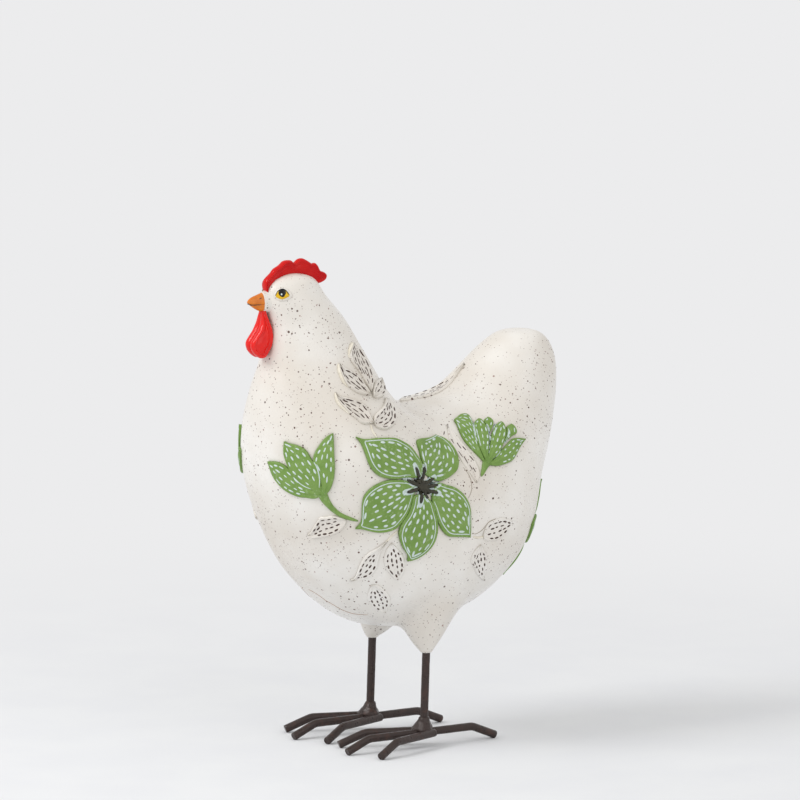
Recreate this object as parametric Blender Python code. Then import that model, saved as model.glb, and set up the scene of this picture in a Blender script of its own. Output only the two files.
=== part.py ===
"""Speckled folk-art hen: one cast body with raised flowers, standing on bent and welded wire legs.

Lengths are in millimetres until the last step, which turns them into metres.
The hen faces -Y, its left is +X and the floor is z = 0.
"""
import math

import bmesh
import bpy
import numpy as np
from mathutils import Matrix, Vector
from mathutils.bvhtree import BVHTree

# Driving dimensions of the body
BODY_LENGTH = 174.0       # breast to tail
BODY_WIDTH = 102.0        # over both flanks
BODY_HEIGHT = 194.8       # thigh tips to crown
LEG_CLEAR = 47.7          # floor to the thigh tips
COMB_THICK = 5.6
BEAK_REACH = 10.0         # beak tip ahead of the face
WATTLE_DROP = 26.0
RELIEF = 1.3              # height of the raised flowers
THIGH_RADIUS = 21.0       # where the thigh leaves the belly, more behind
THIGH_TIP = 3.3

# Driving dimensions of the legs
STANCE = 49.4             # between the two legs
ROD = 4.0                 # wire diameter
SOCKET_DEPTH = 25.0       # blind hole in each thigh
TOE_REACH = 45.3          # middle toe ahead of the leg
HEEL_REACH = 42.3         # hind toe behind the leg
FOOT_HEIGHT = 7.2         # flat part of the foot, wire centre above the floor
TOE_SPREAD = 20.0         # side toes away from the middle toe, degrees
SIDE_TOE = 44.0           # length of a side toe on plan
TOE_WEAR = 0.5            # flat under each wire end
LEG_LEAN = 1.5            # thigh tips behind the feet
WELD_RADIUS = 5.6
WELD_HEIGHT = 6.0         # above the wires
GAP = 0.3                 # left between touching pieces

# Rings from crown to tail: outer point, inner point, half width, taper to the outer side.
# A point is (forward, up) as shares of BODY_LENGTH and of BODY_HEIGHT above the thigh tips.
CROWN = (0.3678, 1.0)
TAIL = (-0.4184, 0.7864)
STATIONS = (
    ((0.4287, 0.9825), (0.2943, 0.9846), 0.0824, 0.1),
    ((0.4494, 0.9435), (0.254, 0.9358), 0.1284, 0.14),
    ((0.4368, 0.8691), (0.1977, 0.8742), 0.1735, 0.15),
    ((0.4471, 0.7818), (0.1333, 0.7777), 0.2353, 0.13),
    ((0.4724, 0.6946), (0.0793, 0.6966), 0.3118, 0.08),
    ((0.4845, 0.5919), (0.0368, 0.6494), 0.3951, 0.03),
    ((0.4724, 0.4764), (0.0069, 0.635), 0.4539, 0.0),
    ((0.4253, 0.348), (-0.0161, 0.6309), 0.4824, 0.0),
    ((0.331, 0.1992), (-0.0333, 0.6309), 0.4951, 0.0),
    ((0.1805, 0.0868), (-0.0471, 0.6319), 0.5, 0.0),
    ((0.0011, 0.0549), (-0.0609, 0.633), 0.5, 0.0),
    ((-0.1862, 0.0919), (-0.0759, 0.6335), 0.4931, 0.0),
    ((-0.3253, 0.1792), (-0.0943, 0.6345), 0.4725, 0.0),
    ((-0.3954, 0.2813), (-0.1161, 0.6371), 0.4373, 0.0),
    ((-0.4345, 0.4009), (-0.1494, 0.6432), 0.3882, 0.0),
    ((-0.4828, 0.5231), (-0.1908, 0.6607), 0.3255, 0.0),
    ((-0.5161, 0.6407), (-0.2379, 0.6976), 0.2529, 0.0),
    ((-0.5184, 0.7233), (-0.2954, 0.7449), 0.1843, 0.0),
    ((-0.4839, 0.7746), (-0.3552, 0.7787), 0.1118, 0.0),
)
COMB_EDGE = (
    (0.4552, 0.9512), (0.4609, 0.979), (0.4517, 0.999), (0.4333, 1.0159), (0.4046, 1.0293),
    (0.3736, 1.0364), (0.3552, 1.0293), (0.3287, 1.0385), (0.3023, 1.0246), (0.2793, 1.02),
    (0.2632, 1.0015), (0.2437, 0.9974), (0.2379, 0.981), (0.2563, 0.9666), (0.2839, 0.9584),
    (0.3333, 0.9718), (0.3793, 0.98), (0.4253, 0.9666),
)
BODY_RINGS = 48
BODY_SIDES = 38
THIGH_STEPS = (0.0, 0.12, 0.3, 0.55, 0.8, 1.0)

# A place on the body is (ring, angle): rings count from the crown, and the angle runs in degrees
# from the breast line, round the hen's left, to the back line.
EYE = ((1.77, 30.0), (1.66, 61.0))
FLOWER_MIDDLE = (9.12, 103.0)
REAR_FLOWER = (14.25, 8.0)
REAR_PETALS = 5
FAR_TURN = 4.0            # the far flank's ornament, further round than the near one's


def drop_startup_objects():
    for item in list(bpy.data.objects):
        bpy.data.objects.remove(item, do_unlink=True)


def material(name, colour, roughness, metallic=0.0):
    made = bpy.data.materials.new(name)
    made.use_nodes = True
    shader = made.node_tree.nodes["Principled BSDF"]
    shader.inputs["Base Color"].default_value = (*colour, 1.0)
    shader.inputs["Roughness"].default_value = roughness
    shader.inputs["Metallic"].default_value = metallic
    return made


def solid(name, points, faces):
    mesh = bpy.data.meshes.new(name)
    mesh.from_pydata([tuple(p) for p in points], [], faces)
    mesh.validate()
    made = bpy.data.objects.new(name, mesh)
    bpy.context.scene.collection.objects.link(made)
    return made


def joined(items):
    """Puts several meshes into one object, left as they are where they cross."""
    gathered = bmesh.new()
    for item in items:
        gathered.from_mesh(item.data)
        bpy.data.objects.remove(item, do_unlink=True)
    mesh = bpy.data.meshes.new("joined")
    gathered.to_mesh(mesh)
    gathered.free()
    made = bpy.data.objects.new("joined", mesh)
    bpy.context.scene.collection.objects.link(made)
    return made


def combine(target, tool, operation, crossing=False):
    """Joins the tool to the target, or cuts it away, and removes the tool."""
    step = target.modifiers.new("step", "BOOLEAN")
    step.solver = "EXACT"
    step.operation = operation
    step.object = tool
    step.use_self = crossing
    bpy.context.view_layer.update()
    graph = bpy.context.evaluated_depsgraph_get()
    result = bpy.data.meshes.new_from_object(target.evaluated_get(graph))
    target.modifiers.remove(step)
    target.data = result
    bpy.data.objects.remove(tool, do_unlink=True)


def forward_point(forward, left, height):
    """Turns forward, left and up from the leg axis into the model's axes."""
    return Vector((left, -forward, height))


def on_body(point):
    """Forward and height of a point given as shares of the body."""
    return (point[0] * BODY_LENGTH, LEG_CLEAR + point[1] * BODY_HEIGHT)


class Skin:
    """The bare body's surface, lofted through the stations."""

    def __init__(self):
        outer = [on_body(s[0]) for s in STATIONS]
        inner = [on_body(s[1]) for s in STATIONS]
        wide = [s[2] * BODY_WIDTH for s in STATIONS]
        taper = [s[3] for s in STATIONS]
        crown, tail = on_body(CROWN), on_body(TAIL)
        rows = [(*inner[0], *outer[0], -wide[0], taper[0]), (*crown, *crown, 0.0, taper[0])]
        rows += [(*o, *i, w, e) for o, i, w, e in zip(outer, inner, wide, taper)]
        rows += [(*tail, *tail, 0.0, taper[-1]), (*inner[-1], *outer[-1], -wide[-1], taper[-1])]
        self.rows = np.array(rows)
        self.last = float(len(rows) - 3)

    def row(self, ring):
        """Outer point, inner point, half width and taper on the smooth curve through the stations."""
        i = min(int(ring), int(self.last) - 1)
        s = ring - i
        a, b, c, d = self.rows[i:i + 4]
        return 0.5 * (2 * b + (c - a) * s + (2 * a - 5 * b + 4 * c - d) * s * s
                      + (3 * b - a - 3 * c + d) * s ** 3)

    def point(self, ring, angle):
        o_f, o_z, i_f, i_z, wide, taper = self.row(ring)
        c, s = math.cos(math.radians(angle)), math.sin(math.radians(angle))
        forward = (o_f + i_f) / 2 + (o_f - i_f) / 2 * c
        height = (o_z + i_z) / 2 + (o_z - i_z) / 2 * c
        return forward_point(forward, wide * s * (1 - taper * c), height)

    def slopes(self, place):
        """Point, its change per ring and per degree, and the outward normal."""
        ring, angle = place
        spot = self.point(ring, angle)
        by_ring = (self.point(ring + 0.01, angle) - self.point(ring - 0.01, angle)) / 0.02
        by_angle = (self.point(ring, angle + 0.5) - self.point(ring, angle - 0.5)) / 1.0
        normal = by_ring.cross(by_angle).normalized()
        middle = (self.point(ring, 0.0) + self.point(ring, 180.0)) / 2
        if normal.dot(spot - middle) < 0:
            normal = -normal
        return spot, by_ring, by_angle, normal

    def shifted(self, place, offset):
        """The place reached by moving along the surface by the offset."""
        _, u, v, _ = self.slopes(place)
        uu, uv, vv = u.dot(u), u.dot(v), v.dot(v)
        a, b = u.dot(offset), v.dot(offset)
        scale = uu * vv - uv * uv
        return Vector(place) + Vector(((a * vv - b * uv) / scale, (b * uu - a * uv) / scale))

    def beside(self, place, run):
        """Unit vector on the surface, square to a run given in rings and degrees."""
        _, u, v, normal = self.slopes(place)
        return normal.cross(u * run[0] + v * run[1]).normalized()

    def shell(self, rings, sides):
        """The bare body as points and faces."""
        points = [self.point(self.last * r / (rings + 1), 360.0 * k / sides)
                  for r in range(1, rings + 1) for k in range(sides)]
        points += [self.point(0.0, 0.0), self.point(self.last, 0.0)]
        crown, last = rings * sides, (rings - 1) * sides
        faces = []
        for k in range(sides):
            n = (k + 1) % sides
            faces.append((crown, k, n))
            faces.append((crown + 1, last + n, last + k))
            for r in range(rings - 1):
                a, b = r * sides, (r + 1) * sides
                faces.append((a + k, b + k, b + n, a + n))
        return points, faces


def mirrored(outline):
    """The same places on the far flank."""
    return [Vector((p[0], -p[1] - FAR_TURN)) for p in outline]


def petal_outline(skin, base, tip, half_width, bulge, blunt, bend, count):
    """Closed leaf outline from base to tip: bulge places the widest part, blunt rounds the tip."""
    base, tip = Vector(base), Vector(tip)
    along = tip - base
    power = math.log(0.5) / math.log(bulge)

    def at(s, sign):
        swell = math.sin(math.pi * s ** power) ** blunt
        place = base + along * s
        reach = sign * half_width * swell + bend * math.sin(math.pi * s)
        return skin.shifted(place, skin.beside(place, along) * reach)

    steps = [i / (count // 2) for i in range(count // 2 + 1)]
    left = [at(s, 1.0) for s in steps]
    right = [at(s, -1.0) for s in reversed(steps[1:-1])]
    return left + right


def disc_outline(skin, centre, radius, count):
    out = []
    for k in range(count):
        angle = 2 * math.pi * (k + 0.3) / count
        side = skin.beside(centre, (1.0, 0.0))
        _, _, _, normal = skin.slopes(centre)
        reach = (side * math.cos(angle) + normal.cross(side) * math.sin(angle)) * radius
        out.append(skin.shifted(centre, reach))
    return out


def raised_pad(skin, outline, height, crown=0.35, sink=2.2, inner=0.6):
    """Low pad standing on the skin inside the outline, domed by crown at its middle."""
    count = len(outline)
    middle = sum(outline, Vector((0.0, 0.0))) / count
    top, ring, foot = [], [], []
    for place in outline:
        spot, _, _, normal = skin.slopes(place)
        top.append(spot + normal * height)
        foot.append(spot - normal * sink)
        spot, _, _, normal = skin.slopes(middle + (place - middle) * inner)
        ring.append(spot + normal * (height + crown))
    spot, _, _, normal = skin.slopes(middle)
    points = top + ring + foot + [spot + normal * (height + crown), spot - normal * (sink + 1.0)]
    high, low = 3 * count, 3 * count + 1
    faces = []
    for k in range(count):
        n = (k + 1) % count
        faces.append((k, n, count + n, count + k))
        faces.append((count + k, count + n, high))
        faces.append((2 * count + k, 2 * count + n, n, k))
        faces.append((2 * count + n, 2 * count + k, low))
    return oriented(solid("pad", points, faces))


def stem_pad(skin, path, half_width):
    """Raised stem that follows the path, round on top and rooted in the skin."""
    profile = ((-1.0, -2.0), (-1.0, 0.35), (0.0, 0.7), (1.0, 0.35), (1.0, -2.0), (0.0, -2.6))
    rings = []
    for i, place in enumerate(path):
        run = path[min(i + 1, len(path) - 1)] - path[max(i - 1, 0)]
        side = skin.beside(place, run) * half_width
        ring = []
        for across, rise in profile:
            spot, _, _, normal = skin.slopes(skin.shifted(place, side * across))
            ring.append(spot + normal * rise * (RELIEF if rise > 0 else 1.0))
        rings.append(ring)
    return ring_stack("stem", rings)


def oriented(item):
    """Turns a closed mesh's faces outward."""
    mesh = item.data
    volume = 0.0
    for face in mesh.polygons:
        spots = [mesh.vertices[i].co for i in face.vertices]
        for i in range(1, len(spots) - 1):
            volume += spots[0].dot(spots[i].cross(spots[i + 1]))
    if volume < 0:
        mesh.flip_normals()
    return item


# Petals as (base, tip, half width, widest at, tip bluntness, sideways bend, height over RELIEF)
BIG_FLOWER = (
    ((8.61, 103.5), (6.23, 80.5), 9.8, 0.50, 0.85, 0.6, 1.15),
    ((8.92, 108.0), (11.08, 136.0), 10.5, 0.60, 0.55, -1.0, 0.90),
    ((9.62, 105.0), (11.3, 84.0), 8.9, 0.45, 0.85, 2.6, 1.05),
    ((9.28, 95.5), (9.73, 68.0), 9.4, 0.45, 0.85, 1.0, 1.20),
    ((8.81, 97.0), (8.42, 58.0), 12.0, 0.50, 0.85, -1.2, 0.98),
)
BUD = (
    ((7.43, 40.5), (6.57, 14.0), 6.7, 0.45, 0.85, 2.0, 1.00),
    ((7.41, 42.5), (6.12, 30.0), 6.7, 0.50, 0.85, 0.6, 1.22),
    ((7.43, 44.5), (6.0, 66.0), 5.0, 0.55, 0.85, -2.0, 1.10),
)
FAN = (
    ((12.57, 117.5), (13.01, 149.0), 4.7, 0.60, 0.60, 0.6, 1.00),
    ((12.68, 117.0), (14.28, 136.5), 3.2, 0.62, 0.60, 0.0, 1.25),
    ((12.9, 116.0), (14.98, 129.5), 2.6, 0.66, 0.60, 0.0, 0.80),
    ((12.82, 115.5), (15.17, 119.0), 3.2, 0.60, 0.60, 0.0, 1.10),
    ((13.07, 114.0), (15.34, 108.5), 2.5, 0.66, 0.60, 0.0, 0.70),
    ((12.85, 114.0), (15.17, 93.5), 4.0, 0.58, 0.70, -0.8, 0.95),
)
STEMS = (
    (((7.38, 44.0), (7.71, 46.5), (8.0, 51.0), (8.42, 62.0)), 1.2),
    (((12.87, 116.5), (12.4, 114.0), (12.0, 112.0)), 1.4),
    (((9.12, 58.0), (9.06, 67.0), (9.12, 73.5)), 0.7),
    (((11.36, 83.0), (11.56, 85.0), (11.86, 82.5)), 0.7),
)
LEAVES = (
    ((4.97, 110.0), (3.56, 122.5), 6.4, 0.50, 0.85, 0.8, 0.60),
    ((5.16, 102.0), (4.07, 90.0), 4.4, 0.50, 0.85, 1.2, 0.72),
    ((5.78, 95.5), (4.88, 76.5), 4.4, 0.50, 0.85, 1.0, 0.60),
    ((4.99, 110.5), (4.71, 148.0), 2.2, 0.50, 0.85, 0.0, 0.80),
    ((5.3, 115.0), (6.31, 109.0), 6.9, 0.55, 0.60, 0.0, 0.66),
    ((8.14, 54.5), (8.16, 28.0), 4.0, 0.50, 0.85, -0.8, 0.60),
    ((9.12, 60.0), (9.17, 37.5), 3.9, 0.45, 0.85, -0.8, 0.60),
    ((9.2, 67.5), (9.79, 57.0), 3.5, 0.55, 0.70, 0.0, 0.60),
    ((9.54, 44.5), (10.13, 32.0), 3.8, 0.45, 0.70, 0.0, 0.60),
    ((11.78, 82.5), (12.62, 81.0), 3.9, 0.45, 0.80, 0.0, 0.60),
    ((11.58, 76.5), (11.89, 52.5), 3.5, 0.45, 0.80, 0.0, 0.60),
    ((11.42, 146.0), (12.26, 118.0), 3.1, 0.50, 0.85, -1.6, 0.55),
)


def flank_pads(skin, far):
    """Everything raised on one flank."""
    turn = mirrored if far else list
    pads = []
    for petals, count in ((BIG_FLOWER, 12), (BUD, 12), (FAN, 10), (LEAVES, 8)):
        for base, tip, half_width, bulge, blunt, bend, rise in petals:
            outline = petal_outline(skin, base, tip, half_width, bulge, blunt, bend, count)
            pads.append(raised_pad(skin, turn(outline), RELIEF * rise))
    pads.append(raised_pad(skin, turn(disc_outline(skin, FLOWER_MIDDLE, 6.2, 12)), RELIEF * 1.55, 0.5))
    for path, half_width in STEMS:
        pads.append(stem_pad(skin, turn([Vector(p) for p in path]), half_width))
    return pads


def rear_pads(skin):
    """A five-petal flower between the two flanks."""
    side = skin.beside(REAR_FLOWER, (0.0, 1.0))
    _, _, _, normal = skin.slopes(REAR_FLOWER)
    pads = []
    for k in range(REAR_PETALS):
        angle = 2 * math.pi * (k + 0.5) / REAR_PETALS
        run = side * math.cos(angle) + normal.cross(side) * math.sin(angle)
        base, tip = skin.shifted(REAR_FLOWER, run * 5.0), skin.shifted(REAR_FLOWER, run * 27.0)
        outline = petal_outline(skin, base, tip, 8.0, 0.5, 0.85, 0.8, 12)
        pads.append(raised_pad(skin, outline, RELIEF * (1.0 + 0.06 * (k % 3))))
    pads.append(raised_pad(skin, disc_outline(skin, REAR_FLOWER, 6.2, 12), RELIEF * 1.55, 0.5))
    return pads


def eye_pads(skin, far):
    """Raised lid and eyeball."""
    (front, front_angle), (back, back_angle) = EYE
    sign = -1 if far else 1
    pads = []
    for grow, half_width, height, crown in ((0.12, 3.1, 0.45, 0.2), (0.0, 2.1, 0.95, 0.5)):
        start, end = (front, front_angle - 32 * grow), (back, back_angle + 32 * grow)
        outline = petal_outline(skin, start, end, half_width, 0.5, 0.75, 0.0, 14)
        outline = [Vector((p[0], sign * p[1])) for p in outline]
        pads.append(raised_pad(skin, outline, height, crown))
    return pads


def comb():
    """Low scalloped comb standing on the crown, soft at its edge."""
    edge = [Vector(on_body(spot)) for spot in COMB_EDGE]
    middle = sum(edge, Vector((0.0, 0.0))) / len(edge)
    count = len(edge)
    points = []
    for left, shrink in ((-0.30, 1.0), (0.30, 1.0), (0.5, 0.88), (-0.5, 0.88)):
        for spot in edge:
            at = middle + (spot - middle) * shrink
            points.append(forward_point(at.x, left * COMB_THICK, at.y))
    faces = [tuple(2 * count + k for k in range(count)), tuple(3 * count + k for k in reversed(range(count)))]
    for k in range(count):
        n = (k + 1) % count
        faces.append((k, n, count + n, count + k))
        faces.append((count + k, count + n, 2 * count + n, 2 * count + k))
        faces.append((n, k, 3 * count + k, 3 * count + n))
    return oriented(solid("comb", points, faces))


def ring_stack(name, rings):
    """Closed solid through rings of points, ended by a fan at each end's middle."""
    count = len(rings[0])
    points = [p for ring in rings for p in ring]
    first = len(points)
    points.append(sum(rings[0], Vector()) / count)
    points.append(sum(rings[-1], Vector()) / count)
    faces = []
    last = (len(rings) - 1) * count
    for k in range(count):
        n = (k + 1) % count
        faces.append((first, n, k))
        faces.append((first + 1, last + k, last + n))
        for r in range(len(rings) - 1):
            a, b = r * count, (r + 1) * count
            faces.append((a + k, a + n, b + n, b + k))
    return oriented(solid(name, points, faces))


def beak():
    """Short beak with a hooked upper line."""
    face, height = on_body((0.45, 0.9369))
    steps = ((-6.0, 0.6, 5.0, 4.8), (0.0, 0.5, 4.6, 4.5), (0.35, 0.4, 3.7, 3.6), (0.7, 0.6, 2.3, 2.2),
             (0.92, 0.5, 1.1, 1.1), (1.0, 0.3, 0.35, 0.35))
    rings = []
    for reach, lift, tall, wide in steps:
        out = reach * BEAK_REACH if reach > 0 else reach
        rings.append([forward_point(face + out, wide * math.sin(2 * math.pi * k / 14),
                                    height + lift + tall * math.cos(2 * math.pi * k / 14))
                      for k in range(14)])
    return ring_stack("beak", rings)


def wattle(side):
    """One hanging lobe: narrow under the beak, full near its foot."""
    face, top = on_body((0.4483, 0.9286))
    steps = ((0.0, 1.2, 1.4, 1.2), (0.2, 1.6, 2.6, 1.7), (0.42, 2.6, 3.9, 2.2), (0.62, 3.6, 5.0, 2.7),
             (0.8, 4.2, 5.0, 2.7), (0.93, 4.3, 3.5, 2.0), (1.0, 4.2, 1.3, 0.9))
    rings = []
    for drop, out, deep, wide in steps:
        spread = 1.6 + 2.4 * min(drop / 0.5, 1.0)
        rings.append([forward_point(face + out + deep * math.cos(2 * math.pi * k / 14),
                                    side * spread + wide * math.sin(2 * math.pi * k / 14),
                                    top - drop * WATTLE_DROP) for k in range(14)])
    return ring_stack("wattle", rings)


def thigh(skin, side):
    """Cone that grows out of the belly and ends in a blunt tip round the wire."""
    tree = BVHTree.FromPolygons(*skin.shell(60, 60))
    centre = forward_point(-LEG_LEAN, side * STANCE / 2, LEG_CLEAR)
    rings = [[] for _ in THIGH_STEPS]
    roof = []
    for k in range(24):
        angle = 2 * math.pi * (k + 0.37) / 24
        out = Vector((math.cos(angle), math.sin(angle), 0.0))
        outer_share = max(0.0, out.x * side)
        reach = THIGH_RADIUS * (1 + 0.24 * out.y - 0.1 * outer_share)
        belly, normal, _, _ = tree.ray_cast(centre + out * reach - Vector((0, 0, 200)), Vector((0, 0, 1)))
        rim = belly - normal * (3.0 if normal.z < 0 else -3.0)
        tip = centre + out * THIGH_TIP
        for ring, step in zip(rings, THIGH_STEPS):
            ring.append(tip.lerp(rim, step) - out * 0.8 * math.sin(math.pi * step))
        roof.append(rim.lerp(centre + Vector((0, 0, rim.z - LEG_CLEAR + 8.0)), 0.3))
    return ring_stack("thigh", rings + [roof])


def leg_line(side):
    """Foot point and thigh point of one leg's centre line."""
    foot = forward_point(0.0, side * STANCE / 2, FOOT_HEIGHT)
    tip = forward_point(-LEG_LEAN, side * STANCE / 2, LEG_CLEAR)
    return foot, tip


def rounded_path(points, radius, steps):
    """Path with each inner corner turned into an arc."""
    points = [Vector(p) for p in points]
    path = [points[0]]
    for before, corner, after in zip(points, points[1:], points[2:]):
        a, b = (before - corner).normalized(), (after - corner).normalized()
        half = a.angle(b) / 2
        reach = radius / math.tan(half)
        centre = corner + (a + b).normalized() * radius / math.sin(half)
        start, end = corner + a * reach - centre, corner + b * reach - centre
        for i in range(steps + 1):
            path.append(centre + start.slerp(end, i / steps).normalized() * radius)
    return path + [points[-1]]


def wire(name, path, radius, sides=16):
    """Round bar along the path with square ends."""
    path = [Vector(p) for p in path]
    up = Vector((0.0, 0.0, 1.0))
    if abs((path[1] - path[0]).normalized().z) > 0.7:
        up = Vector((1.0, 0.0, 0.0))
    rings = []
    for i, spot in enumerate(path):
        back = (spot - path[max(i - 1, 0)]).normalized()
        on = (path[min(i + 1, len(path) - 1)] - spot).normalized()
        run = (back + on).normalized()
        side = run.cross(up).normalized()
        lift = side.cross(run)
        rings.append([spot + (side * math.cos(2 * math.pi * k / sides)
                              + lift * math.sin(2 * math.pi * k / sides)) * radius for k in range(sides)])
    return ring_stack(name, rings)


def floor_cut(item):
    """Takes off what lies below the floor, which leaves a flat under each wire end."""
    corners = [Vector((x, y, z)) for x in (-200, 200) for y in (-200, 200) for z in (-50, 0)]
    faces = [(0, 1, 3, 2), (4, 6, 7, 5), (0, 4, 5, 1), (2, 3, 7, 6), (0, 2, 6, 4), (1, 5, 7, 3)]
    combine(item, oriented(solid("floor", corners, faces)), "DIFFERENCE")
    return item


def toe_end_height():
    """Wire centre at a toe's end, low enough to leave the worn flat."""
    return ROD / 2 * 0.915 - TOE_WEAR


def long_toe_path(side):
    """Middle toe and hind toe, one wire bent down at both ends."""
    middle = side * STANCE / 2
    end = toe_end_height()
    corners = [forward_point(TOE_REACH, middle, end), forward_point(TOE_REACH * 0.717, middle, FOOT_HEIGHT),
               forward_point(-HEEL_REACH * 0.686, middle, FOOT_HEIGHT), forward_point(-HEEL_REACH, middle, end)]
    return rounded_path(corners, 10.0, 3)


def side_toe_path(side, outward):
    """Side toe: starts beside the long wire and splays to its own bent tip."""
    middle = side * STANCE / 2
    angle = math.radians(TOE_SPREAD)
    beside = ROD / 2 * (1 + math.cos(angle)) + GAP
    start = Vector((-3.5, beside))
    run = Vector((math.cos(angle), math.sin(angle)))
    spots = [(start, FOOT_HEIGHT), (start + run * SIDE_TOE * 0.70, FOOT_HEIGHT),
             (start + run * SIDE_TOE, toe_end_height())]
    corners = [forward_point(p.x, middle + outward * p.y, z) for p, z in spots]
    return rounded_path(corners, 10.0, 3)


def shank_path(side):
    foot, tip = leg_line(side)
    run = (tip - foot).normalized()
    start = foot + run * (ROD / 2 + GAP)
    return [start, tip + run * (SOCKET_DEPTH - 2 * GAP)]


def socket(side):
    """Blind hole for one shank, cut from below the thigh tip."""
    foot, tip = leg_line(side)
    run = (tip - foot).normalized()
    return wire("socket", [tip - run * 6.0, tip + run * SOCKET_DEPTH], ROD / 2 + GAP)


def weld(side):
    """Bead round the shank's foot, lumpier at the front, fitted round the wires."""
    foot, tip = leg_line(side)
    run = (tip - foot).normalized()
    low = FOOT_HEIGHT + ROD / 2
    steps = ((low - 1.6, 0.86), (low - 0.2, 1.0), (low + 0.25 * WELD_HEIGHT, 0.86),
             (low + 0.55 * WELD_HEIGHT, 0.66), (low + 0.85 * WELD_HEIGHT, 0.57), (low + WELD_HEIGHT, 0.53))
    rings = []
    for height, share in steps:
        centre = foot + run * ((height - foot.z) / run.z)
        ring = []
        for k in range(20):
            angle = 2 * math.pi * (k + 0.37) / 20
            lump = 1.0 + (share - 0.5) * 0.22 * math.cos(3 * angle + 0.6) + (share - 0.5) * 0.2 * -math.sin(angle)
            reach = max(WELD_RADIUS * share * lump, ROD / 2 + GAP + 0.45)
            ring.append(centre + Vector((math.cos(angle), math.sin(angle), 0.0)) * reach)
        rings.append(ring)
    bead = ring_stack("bead", rings)
    grown = ROD / 2 + GAP
    shank = shank_path(side)
    combine(bead, wire("cut", [shank[0] - run * 6.0, shank[1]], grown), "DIFFERENCE")
    combine(bead, wire("cut", long_toe_path(side), grown), "DIFFERENCE")
    for outward in (1, -1):
        path = side_toe_path(side, outward)
        path[0] = path[0] + (path[0] - path[1]).normalized() * GAP
        combine(bead, wire("cut", path, grown), "DIFFERENCE")
    return bead


def hen_body():
    """The casting: bare body, head trim, thighs, ornament and the two leg sockets."""
    skin = Skin()
    body = oriented(solid("hen_body", *skin.shell(BODY_RINGS, BODY_SIDES)))
    pads = [comb(), beak(), wattle(1), wattle(-1), thigh(skin, 1), thigh(skin, -1)]
    pads += eye_pads(skin, False) + eye_pads(skin, True) + rear_pads(skin)
    pads += flank_pads(skin, False) + flank_pads(skin, True)
    combine(body, joined(pads), "UNION", crossing=True)
    for side in (1, -1):
        combine(body, socket(side), "DIFFERENCE")
    return body


def finish(item, name, paint):
    """Names the piece, gives it its paint and turns its faces into triangles."""
    item.name = name
    item.data.name = name
    item.data.materials.clear()
    item.data.materials.append(paint)
    for face in item.data.polygons:
        face.use_smooth = False
        face.material_index = 0
    return item


def build():
    drop_startup_objects()
    glaze = material("glaze_cream", (0.80, 0.76, 0.69), 0.35)
    bronze = material("paint_brown", (0.045, 0.03, 0.025), 0.4)
    pieces = [finish(hen_body(), "hen_body", glaze)]
    for side, word in ((1, "left"), (-1, "right")):
        shank = wire("shank", shank_path(side), ROD / 2)
        pieces.append(finish(shank, f"{word}_shank", bronze))
        long_toe = floor_cut(wire("toe", long_toe_path(side), ROD / 2))
        pieces.append(finish(long_toe, f"{word}_long_toe", bronze))
        for outward, place in ((side, "outer"), (-side, "inner")):
            toe = floor_cut(wire("toe", side_toe_path(side, outward), ROD / 2))
            pieces.append(finish(toe, f"{word}_{place}_toe", bronze))
        pieces.append(finish(weld(side), f"{word}_weld", bronze))
    spots = [v.co.y for piece in pieces for v in piece.data.vertices]
    centred = Matrix.Translation((0.0, -(min(spots) + max(spots)) / 2, 0.0))
    for piece in pieces:
        piece.data.transform(Matrix.Scale(0.001, 4) @ centred)


build()
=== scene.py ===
"""The looks of a speckled folk-art hen: one glazed casting with raised, painted flowers, on wire legs.

Lengths are in millimetres round the leg axis until put() moves a mesh into the frame, in metres.
The hen faces -Y, its left is +X and the floor is z = 0.
"""
import math
import random

import bmesh
import bpy
import numpy as np
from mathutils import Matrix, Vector, noise
from mathutils.bvhtree import BVHTree


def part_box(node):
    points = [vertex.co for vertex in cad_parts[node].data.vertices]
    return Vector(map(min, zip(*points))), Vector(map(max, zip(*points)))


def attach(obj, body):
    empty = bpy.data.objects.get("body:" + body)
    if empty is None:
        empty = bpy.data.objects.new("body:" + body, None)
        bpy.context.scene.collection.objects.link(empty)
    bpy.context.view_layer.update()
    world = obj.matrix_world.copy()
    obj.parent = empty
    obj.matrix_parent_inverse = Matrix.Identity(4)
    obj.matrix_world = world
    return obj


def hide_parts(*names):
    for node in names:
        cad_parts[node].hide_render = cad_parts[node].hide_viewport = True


# The casting's sizes, as in the CAD
BODY_LENGTH = 174.0
BODY_WIDTH = 102.0
BODY_HEIGHT = 194.8
LEG_CLEAR = 47.7
STANCE = 49.4
ROD = 4.0
LEG_LEAN = 1.5
FOOT_HEIGHT = 7.2
TOE_REACH = 45.3
HEEL_REACH = 42.3
TOE_SPREAD = 20.0
SIDE_TOE = 44.0
RELIEF = 1.3              # height of a petal whose share is 1
BEAK_TIP = 88.3           # ahead of the leg axis
THIGH_REACH = 21.0        # radius at which a thigh leaves the belly
WELD_REACH = 5.5          # radius of a weld bead whose share is 1
TOE_BEND = 9.0            # radius of a toe wire's bends
FAR_TURN = 4.0            # degrees, by which the far flank's ornament stands further back
FAR_BUD_TURN = 8.0        # degrees, on top of the far turn
FAR_EYE_TURN = 5.0        # degrees, on top of the far turn

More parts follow.
